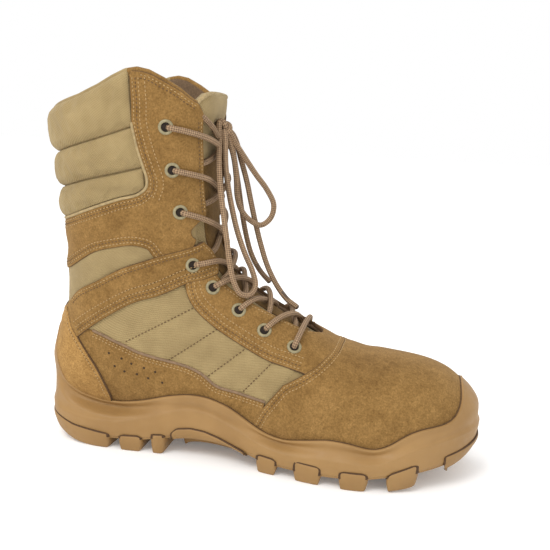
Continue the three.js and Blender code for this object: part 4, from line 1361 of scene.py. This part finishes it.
def wire(tree, kind, settings=None, **inputs):
    """A node whose inputs are sockets or values; settings are its own options."""
    node = tree.nodes.new(kind)
    for key, value in (settings or {}).items():
        setattr(node, key, value)
    for label, value in inputs.items():
        socket = next(s for s in node.inputs if s.name == label.replace("_", " ") and s.enabled)
        if hasattr(value, "is_output"):
            tree.links.new(value, socket)
        else:
            socket.default_value = value
    return node


def carried_normal(tree):
    return wire(tree, "GeometryNodeInputNamedAttribute", {"data_type": "FLOAT_VECTOR"}, Name="normal")


def close_tree(tree, result, placed, colour):
    """Ends a tree: its copies are realized and get their material."""
    real = wire(tree, "GeometryNodeRealizeInstances", Geometry=placed.outputs["Instances"])
    finished = wire(tree, "GeometryNodeSetMaterial", Geometry=real.outputs["Geometry"], Material=colour)
    tree.links.new(finished.outputs["Geometry"], result.inputs["Geometry"])
    return tree


def run_tree(name, tree, points, normals, edges, values, replaces=()):
    """Runs a tree on points (metres inside) that carry normals, and keeps the result as one plain mesh."""
    mesh = bpy.data.meshes.new(name + "_base")
    mesh.from_pydata([tuple(p) for p in metres(points)], edges, [])
    mesh.attributes.new("normal", "FLOAT_VECTOR", "POINT").data.foreach_set("vector", normals.ravel())
    base = bpy.data.objects.new(name + "_base", mesh)
    bpy.context.scene.collection.objects.link(base)
    modifier = base.modifiers.new("nodes", "NODES")
    modifier.node_group = tree
    for socket in tree.interface.items_tree:
        if socket.item_type == "SOCKET" and socket.in_out == "INPUT" and socket.name in values:
            modifier[socket.identifier] = values[socket.name]
    graph = bpy.context.evaluated_depsgraph_get()
    result = bpy.data.meshes.new_from_object(base.evaluated_get(graph), depsgraph=graph)
    bpy.data.objects.remove(base)
    result.name = name
    made = bpy.data.objects.new(name, result)
    bpy.context.scene.collection.objects.link(made)
    result.polygons.foreach_set("use_smooth", [True] * len(result.polygons))
    print(name, "faces:", len(result.polygons))
    return register(made, replaces)


# %% [markdown]
# ## Eyelets
# A painted eyelet is pressed through the facing and curls back on itself. One ring is turned from its profile
# and copied to sixteen places; a near-black disc of painted shade in each closes the view into the boot.

# %% Eyelets
EYELET_PLACES = ((88.9, 220.5), (93, 193.8), (97.4, 166.8), (105, 131.7), (118.3, 116.6),
                 (136.4, 102.2), (154.8, 90.3), (175.6, 81))
PROFILE = ((2.85, -2.6), (2.85, -0.2), (3.0, 0.4), (3.4, 0.8), (3.95, 0.9), (4.5, 0.65), (4.9, 0.15),
           (4.9, -0.6), (4.3, -0.9), (3.4, -2.6))
EYELET_TOPS = (1.5, 1.5, 1.5, 2.7, 2.2, 2.2, 2.2, 2.2)      # the height of the suede under each eyelet
EYELET_SIDES = 22
eyelet_at = [seen_at(x, z) for x, z in EYELET_PLACES]


def eyelet_ring():
    """One turned ring about Z, from its profile."""
    angles = np.linspace(0, 2 * math.pi, EYELET_SIDES + 1)
    points = [(r * math.cos(a), r * math.sin(a), z) for a in angles for r, z in PROFILE]
    return points, [tuple(f) for f in grid_faces(len(angles), len(PROFILE), wrap=True).tolist()]


def eyelet_bottom():
    """The painted shade inside an eyelet: a low near-black disc that closes its hole."""
    angles = np.linspace(0, 2 * math.pi, EYELET_SIDES + 1)[:-1]
    points = [(2.95 * math.cos(a), 2.95 * math.sin(a), z) for z in (0.22, -0.6) for a in angles]
    faces = [tuple(f) for f in grid_faces(2, EYELET_SIDES, wrap=True).tolist()]
    return points, faces + [tuple(range(EYELET_SIDES)), tuple(range(EYELET_SIDES, 2 * EYELET_SIDES))]


def placed_tree(name, shape, colour):
    """Copies of one shape, turned to each point's normal."""
    tree, given, result = new_tree(name, [("Size", "NodeSocketFloat", 1.0)])
    mesh = bpy.data.meshes.new(name + "_shape")
    mesh.from_pydata([tuple(c * MM for c in v) for v in shape[0]], [], shape[1])
    source = bpy.data.objects.new(name + "_shape", mesh)
    point_outwards(source)
    info = wire(tree, "GeometryNodeObjectInfo")
    info.inputs["Object"].default_value = source
    turned = wire(tree, "FunctionNodeAlignRotationToVector", {"axis": "Z"},
                  Vector=carried_normal(tree).outputs["Attribute"])
    placed = wire(tree, "GeometryNodeInstanceOnPoints", Points=given.outputs["Geometry"],
                  Instance=info.outputs["Geometry"], Rotation=turned.outputs["Rotation"])
    tree.links.new(given.outputs["Size"], placed.inputs["Scale"])
    return close_tree(tree, result, placed, colour)


eyelet_points, eyelet_normals = [], []
for (place, around), height in zip(eyelet_at, EYELET_TOPS):
    for turn_ in (around, 1 - around):
        point, normal = on_form(place, turn_, height)
        eyelet_points.append(point)
        eyelet_normals.append(normal)
eyelet_points, eyelet_normals = np.array(eyelet_points), np.array(eyelet_normals)
eyelet_nodes = [f"eyelet_{side}_{k}" for side in ("lateral", "medial") for k in range(1, 9)]
ring_tree = placed_tree("turned_eyelets", eyelet_ring(), eyelet_paint)
run_tree("eyelets", ring_tree, eyelet_points, eyelet_normals, [], {"Size": 1.0}, eyelet_nodes)
# painted shade: a near-black disc stands for the dark inside of each eyelet
eyelet_hole_shade = plain_material("eyelet_hole_shade", (0.018, 0.011, 0.007), 1.0)
hole_tree = placed_tree("dark_holes", eyelet_bottom(), eyelet_hole_shade)
run_tree("eyelet_holes", hole_tree, eyelet_points, eyelet_normals, [], {"Size": 1.0})

# %% [markdown]
# ## Stitches
# Thick thread runs in rows beside the cuts, each stitch a small bead that seems to sink into a needle hole,
# drawn as a smaller near-black bead of painted shade. Rows are edges moved sideways over the form, so they
# stay parallel to the cut they hold.

# %% Stitch rows
STITCH_PITCH, STITCH_LONG, STITCH_WIDE = 2.45, 1.75, 0.8


def stitch_tree(colour):
    tree, given, result = new_tree("stitches", [
        ("Pitch", "NodeSocketFloat", STITCH_PITCH * MM), ("Length", "NodeSocketFloat", STITCH_LONG * MM),
        ("Width", "NodeSocketFloat", STITCH_WIDE * MM)])
    line = wire(tree, "GeometryNodeMeshToCurve", Mesh=given.outputs["Geometry"])
    even = wire(tree, "GeometryNodeResampleCurve", {"mode": "LENGTH"}, Curve=line.outputs["Curve"],
                Length=given.outputs["Pitch"])
    tangent = tree.nodes.new("GeometryNodeInputTangent").outputs["Tangent"]
    along = wire(tree, "FunctionNodeAlignRotationToVector", {"axis": "X"}, Vector=tangent)
    upward = wire(tree, "FunctionNodeAlignRotationToVector", {"axis": "Z", "pivot_axis": "X"},
                  Rotation=along.outputs["Rotation"], Vector=carried_normal(tree).outputs["Attribute"])
    size = wire(tree, "ShaderNodeCombineXYZ", X=given.outputs["Length"], Y=given.outputs["Width"],
                Z=given.outputs["Width"])
    bead = wire(tree, "GeometryNodeMeshUVSphere", Segments=6, Rings=4, Radius=0.5)
    placed = wire(tree, "GeometryNodeInstanceOnPoints", Points=even.outputs["Curve"],
                  Instance=bead.outputs["Mesh"], Rotation=upward.outputs["Rotation"],
                  Scale=size.outputs["Vector"])
    return close_tree(tree, result, placed, colour)


stitch_lines = {"gold": [], "dark": []}


def stitch(points, centre, height, offsets, colours, trim=0):
    """Rows of stitches beside an edge, offsets to the left of its direction on the lateral side."""
    whole = len(points[0]) == 3 and points[0][1] == 0.5, len(points[-1]) == 3 and points[-1][1] == 0.5
    for side in (-1,) if any(whole) else (-1, 1):
        line = edge_of(points, centre, side, spacing=1.0)
        if whole[0]:
            line = np.vstack([line[:0:-1] * MIRROR, line])
        elif whole[1]:
            line = np.vstack([line, line[-2::-1] * MIRROR])
        for k, offset in enumerate(offsets):
            row = shifted(line, centre, offset * -side)
            if trim:
                row = row[trim:-trim]
            colour = "dark" if colours[k % len(colours)] == "d" else "gold"
            top = height(at_pattern(row, centre)[0]) if callable(height) else height
            stitch_lines[colour].append(at_pattern(row, centre, top + 0.05))


def sewn(name, colour, material, values, skip=0):
    """All rows of one colour as one piece; skip leaves out the first points of each row."""
    points, normals, edges, start = [], [], [], 0
    for line, normal in stitch_lines[colour]:
        points.append(line[skip:])
        normals.append(normal[skip:])
        count = len(points[-1])
        edges += [(start + i, start + i + 1) for i in range(count - 1)]
        start += count
    run_tree(name, stitch_tree(material), np.vstack(points), np.vstack(normals), edges, values)


def counter_top_height(surface):
    return 3.2 + counter_lift(surface, None, None)


def tongue_top_height(surface):
    return TONGUE_TOP + 0.25 + 2.6 * np.clip((surface[:, 2] - 232) / 22, 0, 1) ** 2


facing_edge = [t for t in throat_high if t[0] < collar_top[0][0] - 0.6]
roll_seam = [(66, 249), (67, 236), (67.5, 222), (71, 207), (75, 195), (78, 184), (76, 178)]
vamp_border = vamp_top + vamp_side[1:-1] + [(149, 23)]
# Each entry: edge, centre, height, offsets of its rows, their colours (g gold, d dark), trimmed points.
STITCHED = (
    (band_top[::-1], 0.5, 1.5, (2.2, 4.1, 6.0), "gdg"),
    (roll_seam, 0.5, 1.5, (2.0, 3.9, 5.8, 9.8), "gdgg"),
    (facing_rim[::4], 0.5, 1.5, (2.4, 4.3), "gd", 2),
    (facing_edge, 0.5, 1.5, (2.0, 3.9), "gd"),
    (band_low[::-1], 0.5, 1.5, (2.2, 4.1, 6.0), "gdg"),
    (strap_top[1:], 0.5, 2.7, (-2.0, -3.9), "gd", 3),
    (strap_end, 0.5, 2.7, (-2.2,), "g", 2),
    (strap_low[:-1], 0.5, 2.7, (-2.0, -3.9, -5.9, -9.6), "gdgg", 3),
    (eyestay_border, 0.5, 2.2, (2.0, 3.9, 5.9, 9.4), "gdgg", 2),
    (throat_low[1:-1], 0.0, 2.2, (2.4,), "g", 2),
    (vamp_border, 0.0, lambda surface: 1.5 + vamp_rise(surface), (1.9, 3.8, 5.9), "gdg"),
    (quarter_low[1:], 0.5, 1.3, (-2.0, -3.9), "gg", 2),
    (counter_front[:-1], 0.5, 3.2, (-2.6,), "g", 2),
    (counter_top, 0.5, counter_top_height, (-2.6,), "g"),
    *[(list(curve_through(quilt, spacing=6.0)), 0.5, 0.35, (0.0,), "d") for quilt in QUILTS],
    (tongue_edge(5.0, 19.5, 23.1), 0.0, tongue_top_height, (0.0,), "d"))
for entry in STITCHED:
    stitch(*entry)
sewn("stitches_gold", "gold", thread, {})
thread_dark = plain_material("thread_dark", (0.12, 0.066, 0.026), 0.8, scale=1500.0)
sewn("stitches_dark", "dark", thread_dark, {"Width": 0.75 * MM})
# painted shade: small near-black beads along the gold rows stand in for the shade in the needle holes
sewn("needle_holes", "gold", hole_shade_paint, {"Length": 0.9 * MM, "Width": 0.62 * MM}, skip=3)

# %% [markdown]
# ## Perforations and piping
# Small holes punched in the foxing let the foot breathe, and a thin rolled cord hides the seams of the
# quarter and of the collar. The cord is a tube along a line on the form.

# %% Perforations and piping
VENTS = (((51, 68), (60, 65), (67, 62), (76, 60), (84, 58)),
         ((55, 59), (62, 56), (71, 55), (79, 53), (89, 51)))


def vent_tree():
    tree, given, result = new_tree("perforations", [("Radius", "NodeSocketFloat", 0.85 * MM)])
    radius = given.outputs["Radius"]
    size = wire(tree, "ShaderNodeCombineXYZ", X=radius, Y=radius, Z=0.35 * MM)
    dot = wire(tree, "GeometryNodeMeshUVSphere", Segments=12, Rings=6, Radius=1.0)
    turned = wire(tree, "FunctionNodeAlignRotationToVector", {"axis": "Z"},
                  Vector=carried_normal(tree).outputs["Attribute"])
    placed = wire(tree, "GeometryNodeInstanceOnPoints", Points=given.outputs["Geometry"],
                  Instance=dot.outputs["Mesh"], Rotation=turned.outputs["Rotation"],
                  Scale=size.outputs["Vector"])
    return close_tree(tree, result, placed, hole_shade_paint)


# each perforation is a flat near-black dot: painted shade standing in for the hole
vent_points = [on_form(seen_at(x, z)[0], a, 1.3) for row in VENTS for x, z in row
               for a in (seen_at(x, z)[1], 1 - seen_at(x, z)[1])]
vent_at, vent_normals = (np.array(values) for values in zip(*vent_points))
run_tree("perforations", vent_tree(), vent_at, vent_normals, [], {})


def tube(name, path, radius, material, sides=12, replaces=()):
    """A closed tube along a path in boot millimetres; its UV runs in millimetres along and turns round."""
    path = np.asarray(path, float)
    tangents = np.gradient(path, axis=0)
    tangents /= np.linalg.norm(tangents, axis=1, keepdims=True)
    normal = np.cross(tangents[0], [0.3, 0.2, 1.0])
    frames = []
    for tangent in tangents:
        normal = normal - tangent * (normal @ tangent)
        normal /= np.linalg.norm(normal)
        frames.append((normal, np.cross(tangent, normal)))
    length = np.concatenate([[0], np.cumsum(np.linalg.norm(np.diff(path, axis=0), axis=1))])
    rings, flat = [], []
    stations = [(0, 0.0, -0.55), (0, 0.7, -0.4)] + [(i, 1.0, 0.0) for i in range(len(path))]
    stations += [(len(path) - 1, 0.7, 0.4), (len(path) - 1, 0.0, 0.55)]
    for i, part, ahead in stations:
        a, b = frames[i]
        centre_ = path[i] + tangents[i] * ahead * radius
        for angle in np.linspace(0, 2 * math.pi, sides + 1)[:-1]:
            rings.append(centre_ + (a * math.cos(angle) + b * math.sin(angle)) * radius * max(part, 0.05))
            flat.append((length[i], angle / (2 * math.pi)))
    faces = [tuple(f) for f in grid_faces(len(stations), sides, wrap=True).tolist()]
    faces.append(tuple(range(sides)))
    faces.append(tuple(len(rings) - 1 - k for k in range(sides)))
    made = piece(name, rings, faces, material, replaces, uv=flat)
    point_outwards(made)
    return made


for side, where in ((-1, "lateral"), (1, "medial")):
    line = edge_of(quarter_low[1:], 0.5, side)
    tube("quarter_piping_" + where, at_pattern(line, 0.5, 1.25)[0], 0.95, piping, sides=8)
roll_edge = edge_of([(67.5, 222), (71, 207), (75, 195), (77.5, 186), (76.5, 181.5), (72, 177.5), (58, 173),
                     (41, 166.5), (26, 160.3), (9, 154.8), back_at(153.8)], 0.5)
roll_edge = np.vstack([roll_edge, roll_edge[-2::-1] * MIRROR])
roll_piping = plain_material("roll_piping", (0.36, 0.265, 0.13), 0.85)
tube("roll_piping", at_pattern(roll_edge, 0.5, 1.3)[0], 1.0, roll_piping, sides=8)

# %% [markdown]
# ## Lace
# A round braided cord in two browns. Each strand comes from under one facing, crosses over the tongue,
# lies on the other facing and dives into the next eyelet up. The ends rise to a bow whose loops and ends
# hang free in front of the throat.

# %% Braided cord
BRAID_PITCH = 2.6       # millimetres along the cord
BRAID_YARNS = 4         # yarns that go each way round


def braid_material():
    """Two sets of yarns that spiral against each other, from the tube's own UV."""
    material, nodes, links, shader = new_material("braid", 0.85)
    flat = nodes.new("ShaderNodeSeparateXYZ")
    links.new(nodes.new("ShaderNodeUVMap").outputs["UV"], flat.inputs[0])

    def calculate(operation, a, b=None):
        node = nodes.new("ShaderNodeMath")
        node.operation = operation
        for socket, value in zip(node.inputs, (a, b)):
            if value is None:
                continue
            if hasattr(value, "is_output"):
                links.new(value, socket)
            else:
                socket.default_value = value
        return node.outputs[0]

    along = calculate("MULTIPLY", flat.outputs[0], 2 * math.pi / BRAID_PITCH)
    around = calculate("MULTIPLY", flat.outputs[1], 2 * math.pi * BRAID_YARNS)
    one = calculate("SINE", calculate("ADD", along, around))
    two = calculate("SINE", calculate("SUBTRACT", along, around))
    weave = calculate("MULTIPLY", one, two)
    height = calculate("MULTIPLY_ADD", weave, 0.5)
    height.node.inputs[2].default_value = 0.5
    at = nodes.new("ShaderNodeTexCoord").outputs["Object"]
    base = ramp(nodes, links, height, [(0.15, (0.115, 0.070, 0.038)), (0.5, (0.27, 0.170, 0.095)),
                                       (0.95, (0.42, 0.28, 0.16))])
    fleck = ramp(nodes, links, noise(nodes, links, at, 500.0), [(0.3, (0.75,) * 3), (0.7, (1.25,) * 3)])
    links.new(mixed(nodes, links, 0.6, base, fleck, "MULTIPLY"), shader.inputs["Base Color"])
    add_bump(nodes, links, shader, [(height, 0.7, 0.0005)])
    return material


braid = braid_material()
LACE = 1.9              # radius of the cord
PLACE_STEP = 12.0       # about the millimetres between two sections of the form
UNDER = -3.6            # depth of the cord under a facing
over_heights = [h + LACE * 0.95 for h in EYELET_TOPS]


def strand(k, side, rise):
    """From under the facing at eyelet k + 1 on the far side, over the throat, into eyelet k on this side."""
    (p1, a1), (p0, a0) = eyelet_at[k + 1], eyelet_at[k]
    edge1, edge0 = float(throat_turn(p1)), float(throat_turn(p0))
    start, end = on_form(p0, a0)[0], on_form(p1, -a1)[0]
    plane = np.cross(end - start, on_form((p0 + p1) / 2, 0.0)[1])
    tries = np.linspace(min(p0, p1) - 2.5, max(p0, p1) + 2.5, 160)

    def at(around, height):
        """A step of the strand: straight between the two eyelets, seen from the front."""
        off = (on_form(tries, np.full(len(tries), around))[0] - start) @ plane
        return float(np.interp(0.0, off * np.sign(off[-1] - off[0]), tries)), around, height

    mouth = 1.2 / GIRTH
    steps = [at(-a1, UNDER), at(-(a1 + edge1) / 2, UNDER + 0.2), at(-edge1 * 1.06, UNDER + 1.2),
             at(-edge1 * 0.6, rise * 0.4 - 0.6), at(0.0, rise), at(edge0 * 0.5, max(rise, 0.6) + 0.9),
             at(edge0 * 1.02, over_heights[k] + 0.4), at((edge0 + a0) / 2, over_heights[k] + 0.1),
             at(a0 - mouth * 3.4, over_heights[k] - 0.3), at(a0 - mouth * 1.6, EYELET_TOPS[k] + 0.6),
             at(a0 - mouth, EYELET_TOPS[k] - 3.4)]
    flat = np.array([(p * PLACE_STEP, a * side * GIRTH, h) for p, a, h in steps])
    fine = curve_through(flat, spacing=0.9)
    return on_form(fine[:, 0] / PLACE_STEP, fine[:, 1] / GIRTH, fine[:, 2])[0]


laces = []
for k in range(7):
    for side, rise in ((1, -0.2), (-1, 2.9)):
        laces.append(curve_through(strand(k, side if k % 2 else -side, rise), spacing=1.1))
p7, a7 = eyelet_at[7]
bar = [(a7 * s, h) for s, h in ((1.0, -1.2), (0.995, 1.6), (0.93, 3.9), (0.6, 4.3), (0.3, 3.3), (0.0, 2.6))]
bar = bar + [(-a, h) for a, h in bar[-2::-1]]
fine = curve_through(np.array([(a * GIRTH, h) for a, h in bar]), spacing=0.9)
laces.append(on_form(np.full(len(fine), p7), fine[:, 0] / GIRTH, fine[:, 1])[0])
print("strands:", len(laces))

# %% [markdown]
# ## From the top eyelets to the bow
# The two ends come out of the top eyelets and rise to the knot. All strands are then joined to one lacing.

# %% Strands that rise from the top eyelets to the bow
# Each step: part of the throat's half width, height, and how far below the place it starts from.
RISING = ((1.12, -4.0, 0), (1.0, -2.6, 0.1), (0.86, 0.6, 0.35), (0.62, 2.0, 0.8), (0.36, 2.4, 1.25))
for side, low_place, knot_y in ((1, 22.9, -8.5), (-1, 22.3, -2.0)):
    turn_ = float(throat_turn(low_place))
    emerging = [on_form(low_place - drop, turn_ * share * side, height)[0] for share, height, drop in RISING]
    into_knot = [(115.0, knot_y, 225.0), (116.5, -5.0, 221.5)]
    laces.append(curve_through(np.vstack([*emerging, into_knot]), spacing=1.1))
print("strands with the two rising ends:", len(laces))
joined_points, joined_faces, joined_uv = [], [], []
for path in laces:
    made = tube("lace_strand", path, LACE, braid)
    offset = sum(len(p) for p in joined_points)
    coordinates = np.array([v.co for v in made.data.vertices])
    joined_points.append(coordinates)
    joined_faces += [tuple(offset + i for i in f.vertices) for f in made.data.polygons]
    uv = np.zeros((len(coordinates), 2))
    layer = made.data.uv_layers[0].data
    for loop in made.data.loops:
        uv[loop.vertex_index] = layer[loop.index].uv
    joined_uv.append(uv)
    bpy.data.objects.remove(made)
lacing = piece("lacing", np.vstack(joined_points), joined_faces, braid,
               [f"lace_crossing_{k}" for k in range(1, 8)] + ["lace_bar"], uv=np.vstack(joined_uv),
               millimetres=False)
print("lacing faces:", len(lacing.data.polygons))

# %% [markdown]
# ## The bow
# The knot is a cord wound twice round itself. Two loops and two ends leave it and hang by their own weight,
# so their routes are drawn freely as a few points each, and each replaces its piece of the design.

# %% Knot and loops
LOOP_FRONT = ((118.5, -5, 220.5), (121.8, -4.4, 217.6), (124.6, -3.2, 212.5), (130, 0, 204),
              (138, 4, 192), (146, 8, 181), (150.6, 10, 171), (149, 9, 162), (143, 6, 157),
              (135.5, 3, 160.5), (130, 1, 167), (127, 0, 176), (126.2, -1.4, 188), (124.4, -3.4, 202),
              (121.4, -4.6, 212), (118.6, -5.4, 218.6))
LOOP_THROAT = ((118, -8, 220), (119.6, -10.4, 214), (121, -11.5, 197), (123.4, -12, 183),
               (127, -12.5, 168), (131.4, -12.6, 153), (137, -12.4, 139), (142.6, -12.4, 127.6),
               (145.6, -15.4, 118.6), (143.2, -20.4, 113.4), (137.6, -24.6, 114.4), (133.6, -25.8, 121),
               (130, -25.2, 133), (126.6, -23.6, 150), (123, -21.6, 168), (119.8, -19.4, 184),
               (117.4, -16, 201), (116.4, -11.6, 213), (116.6, -8, 219))
END_FRONT = ((118.6, -2, 220.6), (121.2, 0.8, 218.4), (123.6, 3.4, 213.5), (127.4, 6, 200),
             (131.4, 8, 186), (134.6, 9.6, 172), (138, 11, 158), (142.4, 11.4, 143), (148, 11.2, 128),
             (154.8, 10.4, 116), (163, 9, 106.4), (171, 7.5, 101.4))
END_THROAT = ((117, -1.4, 220.6), (118.2, 4, 219), (119.2, 8.6, 213), (121.4, 12.6, 198),
              (124, 14.8, 182), (126.6, 16.2, 166), (129.8, 17.4, 150), (134.4, 18, 135),
              (141, 18, 123.6), (148.6, 17.4, 116))


def free_cord(name, route, node):
    path = curve_through(route, spacing=1.2)
    made = tube(name, path, LACE, braid, replaces=(node,))


turns = np.linspace(0, 4 * math.pi, 60)
knot_path = np.stack([116.2 + (3.6 + 1.3 * np.cos(1.5 * turns)) * np.cos(turns),
                      -5.0 + 2.6 * np.sin(1.5 * turns),
                      221.0 + (3.8 + 1.3 * np.cos(1.5 * turns)) * np.sin(turns)], -1)
knot = tube("bow_knot", knot_path, LACE, braid, replaces=("lace_knot",))
free_cord("bow_loop_front", LOOP_FRONT, "lace_loop_front")
free_cord("bow_loop_throat", LOOP_THROAT, "lace_loop_throat")

# %% [markdown]
# ## The tongue's binding and the footbed
# A woven tape binds the tongue's raw edge, and the footbed is covered with felt. The footbed is the frame's
# own piece, so it only gets a finish.

# %% Binding and felt
top_edge = edge_of(tongue_edge(0.4, 19.5), 0, spacing=1.6)
binding_line = np.vstack([top_edge, top_edge[::-1] * MIRROR])
binding_height = TONGUE_TOP - 0.6 + tongue_lift(None, np.zeros(len(binding_line)), binding_line)
binding_points, _ = at_pattern(binding_line, 0, binding_height)
tube("tongue_binding", curve_through(binding_points, spacing=1.6), 1.4, roll_piping, sides=10)
felt = plain_material("felt", (0.11, 0.085, 0.06), 0.95, scale=900.0)
bpy.data.objects["insole"].material_slots[0].material = felt
print("binding points:", len(binding_points))

# %% [markdown]
# ## The free ends
# Each end of the lace is pressed into a short hard tip, so that it threads through the eyelets.

# %% Ends and their tips
aglet = plain_material("aglet", (0.085, 0.05, 0.028), 0.35)
for name, route, node in (("lace_end_front_cord", END_FRONT, "lace_end_front"),
                          ("lace_end_throat_cord", END_THROAT, "lace_end_throat")):
    path = curve_through(route, spacing=1.2)
    tip_path = path[-14:] + (path[-1] - path[-2]) * 0.3
    tip = tube(name.replace("cord", "aglet"), tip_path, LACE * 0.98, aglet)
    free_cord(name, route, node)
